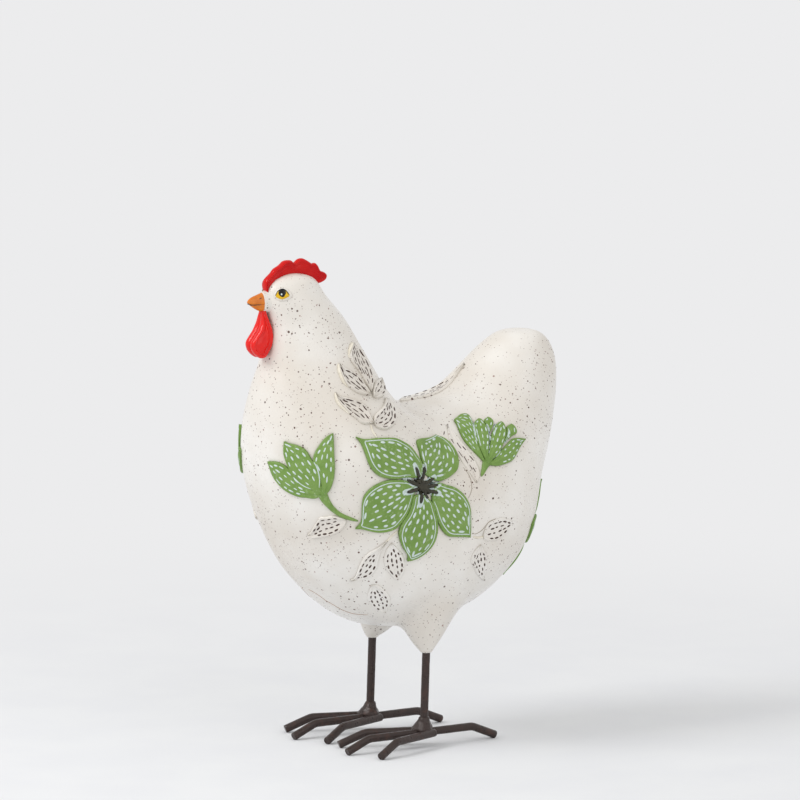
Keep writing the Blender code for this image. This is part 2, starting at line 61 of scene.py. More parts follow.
# Rings from crown to tail: outer point, inner point, half width, taper to the outer side
CROWN = (0.3678, 1.0)
TAIL = (-0.4184, 0.7864)
STATIONS = (
    ((0.4287, 0.9825), (0.2943, 0.9846), 0.0824, 0.1),
    ((0.4494, 0.9435), (0.254, 0.9358), 0.1284, 0.14),
    ((0.4368, 0.8691), (0.1977, 0.8742), 0.1735, 0.15),
    ((0.4471, 0.7818), (0.1333, 0.7777), 0.2353, 0.13),
    ((0.4724, 0.6946), (0.0793, 0.6966), 0.3118, 0.08),
    ((0.4845, 0.5919), (0.0368, 0.6494), 0.3951, 0.03),
    ((0.4724, 0.4764), (0.0069, 0.635), 0.4539, 0.0),
    ((0.4253, 0.348), (-0.0161, 0.6309), 0.4824, 0.0),
    ((0.331, 0.1992), (-0.0333, 0.6309), 0.4951, 0.0),
    ((0.1805, 0.0868), (-0.0471, 0.6319), 0.5, 0.0),
    ((0.0011, 0.0549), (-0.0609, 0.633), 0.5, 0.0),
    ((-0.1862, 0.0919), (-0.0759, 0.6335), 0.4931, 0.0),
    ((-0.3253, 0.1792), (-0.0943, 0.6345), 0.4725, 0.0),
    ((-0.3954, 0.2813), (-0.1161, 0.6371), 0.4373, 0.0),
    ((-0.4345, 0.4009), (-0.1494, 0.6432), 0.3882, 0.0),
    ((-0.4828, 0.5231), (-0.1908, 0.6607), 0.3255, 0.0),
    ((-0.5161, 0.6407), (-0.2379, 0.6976), 0.2529, 0.0),
    ((-0.5184, 0.7233), (-0.2954, 0.7449), 0.1843, 0.0),
    ((-0.4839, 0.7746), (-0.3552, 0.7787), 0.1118, 0.0),
)

# Ornament on the near flank, in places on the body: (ring, angle), where ring 0 is the crown, the last ring
# the tail, angle 0 the breast and belly line and 180 the back line. Each shape has its share of the relief,
# then its left and its right edge from base to tip.
FLOWER = {
    "upper": (1.15, (
        (8.84, 106.5), (8.81, 112), (8.56, 114.5), (8.19, 115), (7.71, 115), (7.27, 112.5), (6.9, 108.5),
        (6.65, 101.5), (6.48, 93.5), (6.37, 85.5), (6.23, 80.5)), (
        (8.84, 106.5), (8.33, 98), (8.14, 93), (7.91, 88), (7.66, 84), (7.41, 82), (7.15, 81.5), (6.87, 82),
        (6.62, 82.3), (6.42, 82), (6.23, 80.5))),
    "back": (0.92, (
        (8.98, 110.5), (8.75, 114), (8.56, 116), (8.3, 119), (8.05, 121), (7.91, 124.5), (8.47, 131.5),
        (9.51, 139)), (
        (8.98, 110.5), (9.68, 111.5), (10.13, 114), (10.57, 117), (10.88, 119.5), (11.08, 123), (11.14, 127),
        (11.08, 131.5), (10.8, 136), (10.27, 139), (9.51, 139))),
    "rear": (1.05, (
        (9.57, 105.5), (9.79, 111), (10.21, 111.5), (10.66, 110.5), (11, 107.5), (11.22, 103), (11.3, 98.5),
        (11.3, 93), (11.3, 88), (11.28, 84)), (
        (9.57, 105.5), (9.71, 99.5), (9.9, 96.5), (10.07, 93), (10.21, 90.5), (10.38, 88), (10.57, 86),
        (10.83, 85.5), (11.08, 85), (11.28, 84))),
    "lower": (1.2, (
        (9.2, 100), (8.95, 96), (9.03, 91.5), (9.09, 86.5), (9.09, 80.5), (9.17, 76), (9.31, 73.5), (9.48, 71.5),
        (9.68, 70), (9.73, 67.5)), (
        (9.2, 100), (9.48, 100.5), (9.73, 99.5), (9.93, 96), (10.07, 93), (10.18, 88.5), (10.21, 83.5),
        (10.15, 78.5), (10.01, 73.5), (9.85, 69.5), (9.73, 67.5))),
    "front": (1.0, (
        (8.92, 103), (8.42, 98), (8.05, 90.5), (7.88, 84), (7.83, 77), (7.88, 71.5), (8, 68), (8.19, 65),
        (8.36, 62), (8.42, 57)), (
        (8.92, 103), (8.95, 95.5), (9.03, 91.5), (9.09, 86.5), (9.09, 81.5), (9.06, 76.5), (8.95, 72),
        (8.78, 67), (8.53, 61), (8.42, 57))),
}
BUD = {
    "front": (1.0, (
        (7.46, 46.5), (7.29, 45), (7.18, 40.5), (7.04, 36), (6.87, 33), (6.71, 29), (6.62, 25.5), (6.57, 20.5),
        (6.57, 14)), (
        (7.46, 46.5), (7.49, 41.5), (7.43, 36.5), (7.38, 31.5), (7.29, 26.5), (7.18, 22), (7.04, 18.5),
        (6.85, 15.5), (6.57, 14))),
    "middle": (1.2, (
        (7.46, 46.5), (7.27, 41), (7.04, 35.5), (6.85, 31), (6.62, 29), (6.42, 28), (6.26, 28.5), (6.09, 30)), (
        (7.46, 46.5), (7.18, 48.5), (6.93, 49.5), (6.71, 48.5), (6.54, 46.5), (6.4, 45.5), (6.26, 42.5),
        (6.17, 37), (6.14, 33), (6.09, 30))),
    "back": (1.08, (
        (7.49, 47), (7.21, 48.5), (6.99, 49), (6.76, 48.5), (6.62, 47.5), (6.42, 50), (6.26, 54), (6.12, 58),
        (6.03, 62), (5.98, 66)), (
        (7.49, 47), (7.43, 51.5), (7.29, 55), (7.1, 58), (6.85, 60.5), (6.62, 62), (6.4, 63.5), (6.17, 65),
        (5.98, 66))),
}
FAN = {
    "left": (1.0, (
        (12.51, 116.5), (12.4, 121), (12.26, 125.5), (12.09, 131), (12.03, 135.5), (12.15, 140.5), (12.37, 145),
        (12.45, 148)), (
        (12.51, 116.5), (12.65, 123.5), (12.82, 128.5), (13.01, 132), (13.35, 135.5), (13.8, 138.5),
        (14.08, 142), (14.08, 145.5), (13.63, 148), (12.96, 148.5), (12.45, 148))),
    "small_back": (0.7, (
        (14.16, 124.5), (14.36, 128), (14.58, 132), (14.92, 130.5)), (
        (14.16, 124.5), (14.61, 124), (14.92, 125), (14.98, 128), (14.92, 130.5))),
    "small_rear": (0.66, (
        (14.36, 112), (14.78, 111.5), (15.09, 113), (15.34, 110)), (
        (14.36, 112), (14.89, 106.5), (15.17, 102.5), (15.34, 105.5), (15.34, 110))),
    "second": (1.2, (
        (12.57, 116), (12.65, 122.5), (12.79, 127.5), (13.01, 131.5), (13.35, 135), (13.72, 137), (14.11, 137),
        (14.36, 136)), (
        (12.57, 116), (13.04, 119.5), (13.49, 122), (13.91, 124.5), (14.25, 128), (14.44, 132), (14.47, 134),
        (14.36, 136))),
    "third": (1.08, (
        (12.59, 116), (13.1, 119.5), (13.63, 121.5), (14.22, 123), (14.7, 122.5), (14.98, 121), (15.12, 119)), (
        (12.59, 116), (13.1, 114.5), (13.83, 112.5), (14.36, 112), (14.81, 112), (15.06, 114.5), (15.15, 117),
        (15.12, 119))),
    "right": (0.95, (
        (12.59, 115), (13.1, 114), (13.77, 112.5), (14.36, 109.5), (14.81, 105.5), (15.03, 100), (15.2, 92.5)), (
        (12.59, 115), (13.04, 110), (13.55, 105.5), (14.02, 101), (14.44, 98.5), (14.84, 96), (15.2, 92.5))),
}
LEAVES = {
    "breast": (0.6, (
        (8.16, 54.5), (8.05, 51.5), (7.97, 48), (7.94, 44), (7.91, 40), (8, 36), (8.08, 32.5), (8.14, 30),
        (8.16, 27.5)), (
        (8.16, 54.5), (8.25, 53), (8.3, 50.5), (8.33, 47), (8.33, 42), (8.3, 37), (8.28, 32.5), (8.25, 29.5),
        (8.16, 27.5))),
    "belly_front": (0.7, (
        (9.09, 68.5), (9.03, 62), (8.98, 56), (9, 51.5), (9.06, 47.5), (9.14, 43.5), (9.2, 40), (9.2, 36.5)), (
        (9.09, 68.5), (9.12, 64.5), (9.17, 60.5), (9.26, 57), (9.34, 53.5), (9.37, 48.5), (9.34, 44.5),
        (9.28, 40), (9.2, 36.5))),
    "belly_middle": (0.5, (
        (9.2, 69.5), (9.2, 65), (9.26, 61.5), (9.34, 59), (9.45, 57), (9.59, 56), (9.71, 55.5), (9.82, 56)), (
        (9.2, 69.5), (9.37, 69.5), (9.54, 69), (9.68, 67), (9.79, 64), (9.85, 60.5), (9.85, 58), (9.82, 56))),
    "belly_low": (0.5, (
        (9.51, 44), (9.57, 39.5), (9.65, 35.5), (9.76, 33.5), (9.93, 31.5), (10.04, 31.5), (10.15, 32.5)), (
        (9.51, 44), (9.59, 46.5), (9.76, 46.5), (9.93, 44.5), (10.04, 41), (10.1, 37), (10.15, 32.5))),
    "flank_upper": (0.5, (
        (11.7, 82), (11.78, 85.5), (11.95, 87.5), (12.2, 86.5), (12.43, 84.5), (12.65, 80), (12.76, 75.5)), (
        (11.7, 82), (11.75, 79), (11.92, 76.5), (12.15, 74.5), (12.37, 74), (12.59, 74), (12.76, 75.5))),
    "flank_lower": (0.5, (
        (11.64, 77.5), (11.5, 76), (11.42, 73), (11.42, 69.5), (11.53, 64.5), (11.64, 59.5), (11.78, 54.5),
        (11.92, 50)), (
        (11.64, 77.5), (11.75, 73.5), (11.84, 69.5), (11.86, 65), (11.89, 60.5), (11.89, 56), (11.92, 50))),
    "fan_side": (0.42, (
        (11.75, 110), (11.58, 115.5), (11.36, 122), (11.16, 128), (10.94, 134), (11.0, 140), (11.39, 147.5)), (
        (11.75, 110), (12.08, 114), (12.13, 121), (12.0, 128.5), (11.84, 136), (11.65, 142), (11.39, 147.5))),
    "neck_top": (0.85, (
        (4.97, 111.5), (4.6, 112), (4.35, 110.5), (4.15, 108), (3.99, 106.5), (3.85, 107.5), (3.71, 112.5),
        (3.56, 123.5)), (
        (4.97, 111.5), (4.77, 121), (4.49, 128), (4.18, 131), (3.93, 132), (3.71, 129), (3.56, 123.5))),
    "neck_middle": (0.95, (
        (5.05, 109.5), (4.97, 100), (4.85, 95), (4.71, 91), (4.57, 88.5), (4.41, 88), (4.21, 88), (4.04, 90)), (
        (5.05, 109.5), (4.83, 110.5), (4.63, 108.5), (4.43, 106), (4.27, 100.5), (4.15, 94.5), (4.04, 90))),
    "neck_low": (0.85, (
        (5.95, 98.5), (5.89, 90), (5.72, 87), (5.56, 84), (5.39, 81), (5.25, 78.5), (5.08, 77), (4.85, 77.5)), (
        (5.95, 98.5), (5.7, 99), (5.5, 99.5), (5.28, 98.5), (5.14, 94), (5.02, 87), (4.97, 80.5), (4.85, 77.5))),
    "neck_back": (1.1, (
        (5.14, 112), (4.97, 114), (4.8, 119.5), (4.69, 129.5), (4.69, 145)), (
        (5.14, 112), (5.22, 118), (5.19, 127.5), (5.08, 136), (4.88, 142.5), (4.69, 145))),
    "neck_foot": (1.0, (
        (5.92, 98.5), (5.72, 102.5), (5.61, 109), (5.5, 117.5), (5.3, 126.5)), (
        (5.92, 98.5), (6.14, 99.5), (6.34, 104.5), (6.37, 112.5), (6.23, 121), (5.95, 126.5), (5.67, 131),
        (5.42, 132), (5.3, 126.5))),
}
SADDLE_LEAF = (0.8, (
    (8.2, -177), (10.0, -178.5), (12.5, -179), (14.5, -179), (16.2, -176), (17.2, -170)), (
    (8.2, -177), (9.6, -172), (11.5, -166), (13.5, -162), (15.6, -162), (17.2, -170)))
# Dark strokes on the leaf beside the fan, and the raised stems with their half widths and heights
FAN_HATCH = (
    ((11.64, 148.0), (11.25, 144.5)), ((10.83, 143.5), (10.60, 141.0)), ((11.05, 137.5), (11.16, 134.5)),
    ((11.44, 134.5), (11.56, 130.5)), ((11.28, 129.5), (11.42, 125.5)), ((11.53, 126.0), (11.61, 121.5)),
    ((11.86, 125.0), (11.98, 121.5)), ((11.70, 131.5), (11.81, 128.5)), ((11.67, 120.5), (11.75, 117.5)),
    ((11.81, 118.5), (11.86, 115.5)))
BUD_STEM = ((7.04, 44.0), (7.28, 45.5), (7.48, 47.0), (7.62, 47.6), (7.83, 49.5), (8.05, 53.0), (8.33, 60.5))
BUD_STEM_WIDTHS = (2.2, 3.3, 2.3, 1.5, 1.1, 0.95, 0.7)
BUD_STEM_HEIGHTS = (0.7, 1.5, 1.7, 1.55, 1.3, 1.15, 0.9)
FAN_STEM = ((13.12, 118.5), (12.82, 117.0), (12.52, 115.5), (12.28, 113.8), (12.06, 112.0))
FAN_STEM_WIDTHS = (2.6, 3.0, 2.1, 1.3, 0.75)
FAN_STEM_HEIGHTS = (0.7, 1.45, 1.6, 1.3, 0.9)
# The stamens' middle, the tips of the big ones, and the outline of the small ones' patch
FLOWER_MIDDLE = (9.1, 103.5)
FINGERS = (
    (8.44, 107.5), (8.86, 113.0), (9.48, 111.5), (9.73, 109.5), (9.79, 105.5), (9.45, 100.0), (9.26, 95.5),
    (8.67, 94.0), (8.44, 98.5))
CORE = ((8.56, 103.0), (8.78, 107.0), (9.2, 108.5), (9.52, 107.0), (9.58, 103.0), (9.37, 99.6), (9.03, 99.4),
        (8.75, 100.4))

# Painted lines, the cream stems, and the eye
BUD_LINES = (
    ((6.59, 47.7), (6.82, 49.2), (7.07, 48.7), (7.27, 46.7)),
    ((6.92, 32.0), (7.08, 35.2), (7.18, 38.3), (7.25, 41.5)))
FAN_GAPS = (
    ((13.91, 139.5), (13.41, 135.5), (12.93, 131.5)), ((14.47, 129.0), (14.11, 125.0), (13.72, 122.0)),
    ((15.03, 110.0), (14.75, 109.5), (14.36, 111.0)), ((14.89, 123.0), (14.53, 122.0), (14.2, 121.5)))
FAN_LINES = (((12.85, 126), (13.1, 130), (13.45, 134)), ((13.0, 118.8), (13.49, 121.6), (14.0, 123.2)),
             ((13.1, 114.3), (13.77, 112.6), (14.3, 111.8)))
# Grey lines just outside two leaf edges, by a raised stalk: partly painted grey line, partly painted shade
# beside the raised edges
GREY_LINES = (
    ((11.38, 85.2), (11.5, 84.5), (11.67, 85), (11.81, 86.5), (11.95, 87.6), (12.2, 86.8)),
    ((11.30, 120.5), (11.47, 116.5), (11.53, 112.5), (11.50, 109.0), (11.42, 106.5), (11.28, 104.0)),
)
BELLY_LINE = ((9.20, 1), (9.28, 5.5), (9.43, 8), (9.54, 10.5), (9.71, 13), (9.82, 16), (9.93, 21), (9.99, 23.5))
CREAM_STEMS = (
    ((9.14, 76), (9.10, 72), (9.09, 67)),
    ((5.95, 96), (6.2, 95), (6.5, 95.5)),
    ((11.4, 83.5), (11.55, 82), (11.72, 81)),
)
EYE = (
    (1.86, 32.0), (1.61, 36.8), (1.46, 46.0), (1.55, 54.5), (1.80, 60.0), (1.94, 52.5), (2.0, 44.5),
    (1.97, 38.0))
PUPIL = (1.70, 46.3)
GLINT = (1.77, 45.2)

# The flower under the tail
REAR_FLOWER = (13.97, 14.5)
REAR_TURN = -40.0         # degrees
REAR_START, REAR_LENGTH, REAR_HALF_WIDTH = 5.0, 22.0, 8.0

# The comb's and a wattle's outline and middle line, as (forward, up)
COMB_EDGE = (
    (78.4, 235.2), (78.8, 237.4), (78.7, 239.5), (77.4, 241.3), (74.8, 243.4), (73.0, 245.4), (69.8, 246.9),
    (67.1, 248.8), (63.9, 249.0), (62.5, 248.5), (61.1, 247.5), (58.7, 249.0), (56.3, 249.2), (54.2, 248.3),
    (51.9, 246.9), (50.7, 246.1), (48.7, 246.1), (47.2, 244.7), (45.9, 242.2), (43.6, 241.1), (42.2, 239.8),
    (42.4, 238.0), (43.8, 236.7), (46.7, 235.7), (50.0, 236.0), (54.5, 237.6), (60.0, 239.4), (66.0, 239.4),
    (71.0, 237.6), (74.4, 234.6), (76.8, 232.2))
COMB_MIDDLE = (
    (77.5, 236.6), (73.5, 240.6), (68.0, 243.6), (61.5, 244.2), (55.5, 243.4), (50.0, 241.3), (45.2, 239.0))
COMB_NOTCHES = ((61.5, 250.0), (50.9, 249.0), (45.2, 245.0), (76.5, 246.0), (56.0, 252.0))
WATTLE_MIDDLE = ((80.0, 222.0), (79.8, 217.5), (80.6, 212.5), (81.6, 207.5))
WATTLE_EDGE = (
    (80.2, 226.6), (81.1, 222.0), (81.8, 218.6), (83.5, 215.2), (85.5, 212.5), (87.2, 210.2), (87.7, 208.1),
    (87.0, 205.5), (85.4, 203.4), (83.5, 201.9), (81.8, 201.3), (79.8, 201.7), (78.3, 203.5), (76.7, 205.7),
    (75.6, 208.3), (75.1, 211.4), (75.6, 215.2), (76.6, 218.6), (77.7, 222.0), (78.8, 226.3))
# The beak's halves as rows of (forward, far height, mouth height, half width)
UPPER_BEAK = (
    (74.0, 235.2, 228.7, 3.6), (77.0, 234.9, 228.7, 3.5), (79.2, 234.3, 228.7, 3.3), (81.3, 233.7, 228.7, 3.0),
    (83.3, 233.1, 228.7, 2.6), (85.9, 232.3, 228.7, 1.9), (87.4, 231.5, 229.0, 1.3), (88.1, 230.9, 229.4, 0.9),
    (88.5, 230.3, 229.8, 0.4))
LOWER_BEAK = (
    (74.0, 224.4, 228.5, 3.3), (78.0, 224.4, 228.5, 3.2), (80.4, 224.6, 228.5, 3.0), (82.4, 225.2, 228.5, 2.6),
    (84.4, 226.3, 228.5, 2.1), (86.0, 227.4, 228.6, 1.4), (87.2, 228.3, 228.8, 0.7))
MOUTH = ((82.2, 2.8), (83.3, 2.6), (84.6, 2.3), (85.9, 1.9), (87.3, 1.3))     # forward, half width
NOSTRIL = ((2.12, -82.5, 231.5), (2.14, -82.0, 231.7), (2.12, -81.5, 231.8))
# Rows of (forward, middle height, half height, half width)
COLLAR = ((73.0, 229.6, 8.6, 7.0), (75.0, 229.6, 7.2, 5.6), (76.5, 229.6, 6.2, 4.6), (78.0, 229.55, 5.5, 3.85),
          (79.3, 229.5, 5.1, 3.5), (79.9, 229.5, 4.95, 3.38), (80.15, 229.5, 4.6, 3.1))

# A weld bead's rows, as height over the toe wires and share of its reach
WELD_ROWS = (
    (-2.4, 0.30), (-2.2, 0.62), (-1.3, 0.88), (-0.2, 0.98), (1.5, 0.84), (3.3, 0.62), (5.1, 0.50), (5.8, 0.42),
    (6.0, 0.34))

# Dashes: spacing across, spacing along, bare margin, half width and length, then the share of the shape's
# length at which they start and end
FLOWER_DASHES = (3.0, 4.6, 3.5, 0.62, 2.7, 0.16, 0.9)
BUD_DASHES = (2.7, 4.3, 1.8, 0.46, 2.7, 0.24, 0.93)
FAN_DASHES = (2.1, 3.5, 1.2, 0.38, 2.1, 0.3, 0.93)
NECK_DASHES = (1.9, 4.4, 1.5, 0.38, 3.3, 0.14, 0.93)
LEAF_DASHES = (2.1, 3.2, 1.8, 0.48, 2.0, 0.16, 0.9)
REAR_DASHES = (2.9, 4.5, 3.1, 0.56, 2.5, 0.16, 0.9)
SADDLE_DASHES = (2.2, 4.4, 1.7, 0.34, 2.6, 0.08, 0.94)
INSET_DISTANCE, INSET_HALF_WIDTH = 1.85, 0.31

# Paints as displayed red, green and blue, from 0 to 255
GLAZE_LIGHT = (239, 237, 233)
GLAZE_DEEP = (218, 211, 201)
GLAZE_MILKY = (225, 220, 212)
SPECK_BROWN = (88, 66, 58)
SPECK_PALE = (150, 116, 108)
# Grey of the thin antiquing in the glaze's creases, also used there and in leaf dips as painted shade
WASH_AND_SHADE_GREY = (150, 142, 126)
LEAF_GREEN = (122, 154, 78)
LEAF_DEEP = (92, 130, 48)
LEAF_SCUFF = (176, 196, 158)
WIRE_BROWN = (58, 47, 44)
WIRE_THIN = (98, 66, 56)
PAPER = ((229, 231, 235), (232, 234, 237))
PALE = (236, 236, 237)
# Brushed paints: colour, second colour, roughness, streak size and relief in millimetres, specular level
BRUSHED = {
    "brush_haze": ((206, 220, 220), (158, 182, 162), 0.5, 2.0, 0.03, 0.35),
    "brush_white": ((210, 223, 222), (176, 194, 186), 0.45, 2.5, 0.03, 0.35),
    "brush_brown": ((62, 44, 38), (96, 72, 60), 0.42, 2.0, 0.03, 0.35),
    "brush_grey": ((178, 170, 158), (148, 136, 122), 0.42, 2.0, 0.03, 0.35),
    "brush_ochre": ((168, 128, 96), (112, 82, 64), 0.42, 2.0, 0.03, 0.35),
    "brush_cream": ((238, 232, 218), (206, 196, 176), 0.4, 3.0, 0.04, 0.35),
    "stamen_dark": ((58, 56, 42), (24, 22, 18), 0.36, 2.0, 0.05, 0.35),
    "comb_red": ((190, 4, 10), (216, 40, 32), 0.12, 8.0, 0.06, 0.18),
    "wattle_red": ((238, 34, 26), (210, 14, 14), 0.08, 8.0, 0.05, 0.35),
    "beak_orange": ((222, 128, 40), (176, 84, 26), 0.20, 4.0, 0.07, 0.35),
    "eye_yellow": ((226, 186, 26), (206, 140, 24), 0.25, 2.0, 0.02, 0.35),
    "eye_black": ((12, 10, 10), (26, 20, 18), 0.2, 1.5, 0.01, 0.35),
    "droplet_brown": ((84, 62, 54), (132, 104, 94), 0.38, 3.0, 0.02, 0.35),
}
# Specks: cell size, share of cells with a speck, smallest and largest radius, strength
SPECKS = ((1.4, 0.66, 0.19, 0.37, 0.70), (2.3, 0.72, 0.26, 0.50, 0.90), (5.2, 0.60, 0.40, 0.74, 0.95))
DROPLETS, DROPLET_SIZES = 380, (0.28, 0.55)

# The photo's view: to the hen's left of straight ahead and from above, in degrees, then metres
VIEW_TURN, VIEW_TILT, VIEW_DISTANCE = 57.0, 10.2, 15.0
LENS_PER_METRE = 90.0
AIM_RIGHT, AIM_UP = 0.00165, 0.16925
LAMP_DISTANCE, KEY_SIZE, KEY_WATTS, FILL_SIZE, FILL_WATTS = 1.6, 0.7, 10.2, 1.4, 4.0
FILL_LIGHT, FILL_STRENGTH = (1.0, 0.985, 0.962, 1.0), 0.76
# Where the floor starts to melt into the backdrop and where it has
FADE_START, FADE_END = 0.14, 0.60

rng = random.Random(7)


def linear(colour):
    """Displayed 0 to 255 values as the linear colour that the nodes take."""
    out = []
    for value in colour:
        share = value / 255
        out.append(share / 12.92 if share <= 0.04045 else ((share + 0.055) / 1.055) ** 2.4)
    return (*out, 1.0)


def on_body(point):
    """A station's point, as forward and up."""
    return (point[0] * BODY_LENGTH, LEG_CLEAR + point[1] * BODY_HEIGHT)


def smooth(a, b, c, d, s):
    """Point at share s between b and c of the smooth curve through all four."""
    return 0.5 * (2 * b + (c - a) * s + (2 * a - 5 * b + 4 * c - d) * s ** 2 + (3 * b - a - 3 * c + d) * s ** 3)


def unit(vectors):
    """The vectors, each one long."""
    return vectors / np.maximum(np.linalg.norm(vectors, axis=-1, keepdims=True), 1e-12)


class Skin:
    """The bare body's surface, lofted through the stations, for arrays of rings and angles."""

    def __init__(self):
        outer = [on_body(s[0]) for s in STATIONS]
        inner = [on_body(s[1]) for s in STATIONS]
        wide = [s[2] * BODY_WIDTH for s in STATIONS]
        taper = [s[3] for s in STATIONS]
        crown, tail = on_body(CROWN), on_body(TAIL)
        rows = [(*inner[0], *outer[0], -wide[0], taper[0]), (*crown, *crown, 0.0, taper[0])]
        rows += [(*o, *i, w, e) for o, i, w, e in zip(outer, inner, wide, taper)]
        rows += [(*tail, *tail, 0.0, taper[-1]), (*inner[-1], *outer[-1], -wide[-1], taper[-1])]
        self.rows = np.array(rows)
        self.last = float(len(rows) - 3)

    def points(self, ring, angle):
        ring, angle = np.atleast_1d(ring).astype(float), np.radians(np.atleast_1d(angle))
        i = np.clip(ring.astype(int), 0, int(self.last) - 1)
        s = (ring - i)[:, None]
        row = smooth(*(self.rows[i + k] for k in range(4)), s)
        cos, sin = np.cos(angle), np.sin(angle)
        forward = (row[:, 0] + row[:, 2]) / 2 + (row[:, 0] - row[:, 2]) / 2 * cos
        height = (row[:, 1] + row[:, 3]) / 2 + (row[:, 1] - row[:, 3]) / 2 * cos
        return np.stack([row[:, 4] * sin * (1 - row[:, 5] * cos), -forward, height], axis=1)

    def frames(self, places):
        """Points, their change per ring and per degree, and outward normals."""
        places = np.atleast_2d(places)
        ring, angle = places[:, 0], places[:, 1]
        spot = self.points(ring, angle)
        by_ring = (self.points(ring + 0.01, angle) - self.points(ring - 0.01, angle)) / 0.02
        by_angle = self.points(ring, angle + 0.5) - self.points(ring, angle - 0.5)
        normal = unit(np.cross(by_ring, by_angle))
        middle = (self.points(ring, angle * 0) + self.points(ring, angle * 0 + 180)) / 2
        normal *= np.where((normal * (spot - middle)).sum(1) < 0, -1.0, 1.0)[:, None]
        return spot, by_ring, by_angle, normal

    def shifted(self, places, offset):
        """The places reached by moving along the surface by offsets in millimetres."""
        places = np.atleast_2d(places)
        _, u, v, _ = self.frames(places)
        uu, uv, vv = (u * u).sum(1), (u * v).sum(1), (v * v).sum(1)
        a, b = (u * offset).sum(1), (v * offset).sum(1)
        scale = np.maximum(uu * vv - uv * uv, 1e-9)
        return places + np.stack([(a * vv - b * uv) / scale, (b * uu - a * uv) / scale], axis=1)

    def beside(self, places):
        """Unit vectors on the surface, square to a path through the places."""
        _, u, v, normal = self.frames(places)
        run = np.gradient(np.atleast_2d(places), axis=0)
        return unit(np.cross(normal, u * run[:, :1] + v * run[:, 1:]))


SKIN = Skin()
PLACE_SCALE = (18.0, 0.85)      # about how many millimetres a ring and a degree measure


def travelled(steps):
    """Length from the start to each point, given the steps between them."""
    return np.concatenate([[0.0], np.cumsum(np.linalg.norm(steps, axis=1))])


def sampled(curve, length, shares):
    """Points of a curve at shares of its length."""
    return np.stack([np.interp(shares * length[-1], length, row) for row in curve.T], axis=1)


def spline(points, count, closed=False):
    """Even samples of the smooth curve through the points, in whatever they measure."""
    points = np.asarray(points, float)
    if closed:
        points = np.concatenate([points[-1:], points, points[:2]])
    else:
        points = np.concatenate([2 * points[:1] - points[1:2], points, 2 * points[-1:] - points[-2:-1]])
    t = np.linspace(0.0, len(points) - 3, 40 * len(points))
    i = np.minimum(t.astype(int), len(points) - 4)
    curve = smooth(*(points[i + k] for k in range(4)), (t - i)[:, None])
    steps = np.diff(curve, axis=0)
    if points.shape[1] == 2 and np.abs(points[:, 0]).max() < 21:
        steps = steps * PLACE_SCALE
    wanted = np.linspace(0.0, 1.0, count + 1)[:-1] if closed else np.linspace(0.0, 1.0, count)
    return sampled(curve, travelled(steps), wanted)


def near(places, extra=0.0):
    """The places as they are written, on the near flank."""
    return np.asarray(places, float)


def far(places, extra=0.0):
    """The same places on the far flank, where some stand a little further back."""
    return np.asarray(places, float) * (1, -1) - (0, FAR_TURN + extra)


class Shape:
    """Gathers points and faces, and a shade from 0 to 1 at each point."""

    def __init__(self):
        self.points, self.faces, self.shades = [], [], []

    def add(self, points, faces, shade=0.0):
        start = len(self.points)
        self.points.extend(np.asarray(points, float).tolist())
        self.faces.extend([tuple(int(i) + start for i in face) for face in faces])
        self.shades.extend(np.broadcast_to(shade, (len(points),)).tolist())

    def join(self, other):
        self.add(other.points, other.faces, other.shades)


def grid_faces(rows, columns, wrap=False):
    """Four-sided faces between rows of points."""
    faces = []
    for r in range(rows - 1):
        for c in range(columns if wrap else columns - 1):
            n = (c + 1) % columns
            faces.append((r * columns + c, r * columns + n, (r + 1) * columns + n, (r + 1) * columns + c))
    return faces


def tube(rings):
    """Closed shape through rings of points, with a fan at each end."""
    rings = np.asarray(rings, float)
    count = rings.shape[1]
    made = Shape()
    points = np.concatenate([rings.reshape(-1, 3), rings[:1].mean(1), rings[-1:].mean(1)])
    faces = grid_faces(len(rings), count, wrap=True)
    first, last = len(points) - 2, (len(rings) - 1) * count
    for k in range(count):
        n = (k + 1) % count
        faces.append((first, n, k))
        faces.append((first + 1, last + k, last + n))
    made.add(points, faces)
    return made


def put(name, shape, paint, node="hen_body"):
    """Makes one piece of the dressed hen from a shape, hangs it on the root and hides the CAD node that it
    stands in for.
    """
    points = (np.array(shape.points) + (0.0, SHIFT, 0.0)) / 1000
    mesh = bpy.data.meshes.new(name)
    mesh.from_pydata(points.tolist(), [], shape.faces)
    mesh.validate()
    shade = mesh.attributes.new("shade", "FLOAT", "POINT")
    shade.data.foreach_set("value", np.array(shape.shades, np.float32))
    work = bmesh.new()
    work.from_mesh(mesh)
    bmesh.ops.remove_doubles(work, verts=work.verts, dist=1e-6)
    bmesh.ops.recalc_face_normals(work, faces=work.faces)
    work.to_mesh(mesh)
    work.free()
    for face in mesh.polygons:
        face.use_smooth = True
    mesh.materials.append(paint)
    piece = bpy.data.objects.new(name, mesh)
    bpy.context.scene.collection.objects.link(piece)
    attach(piece, "root")
    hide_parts(node)
    return piece


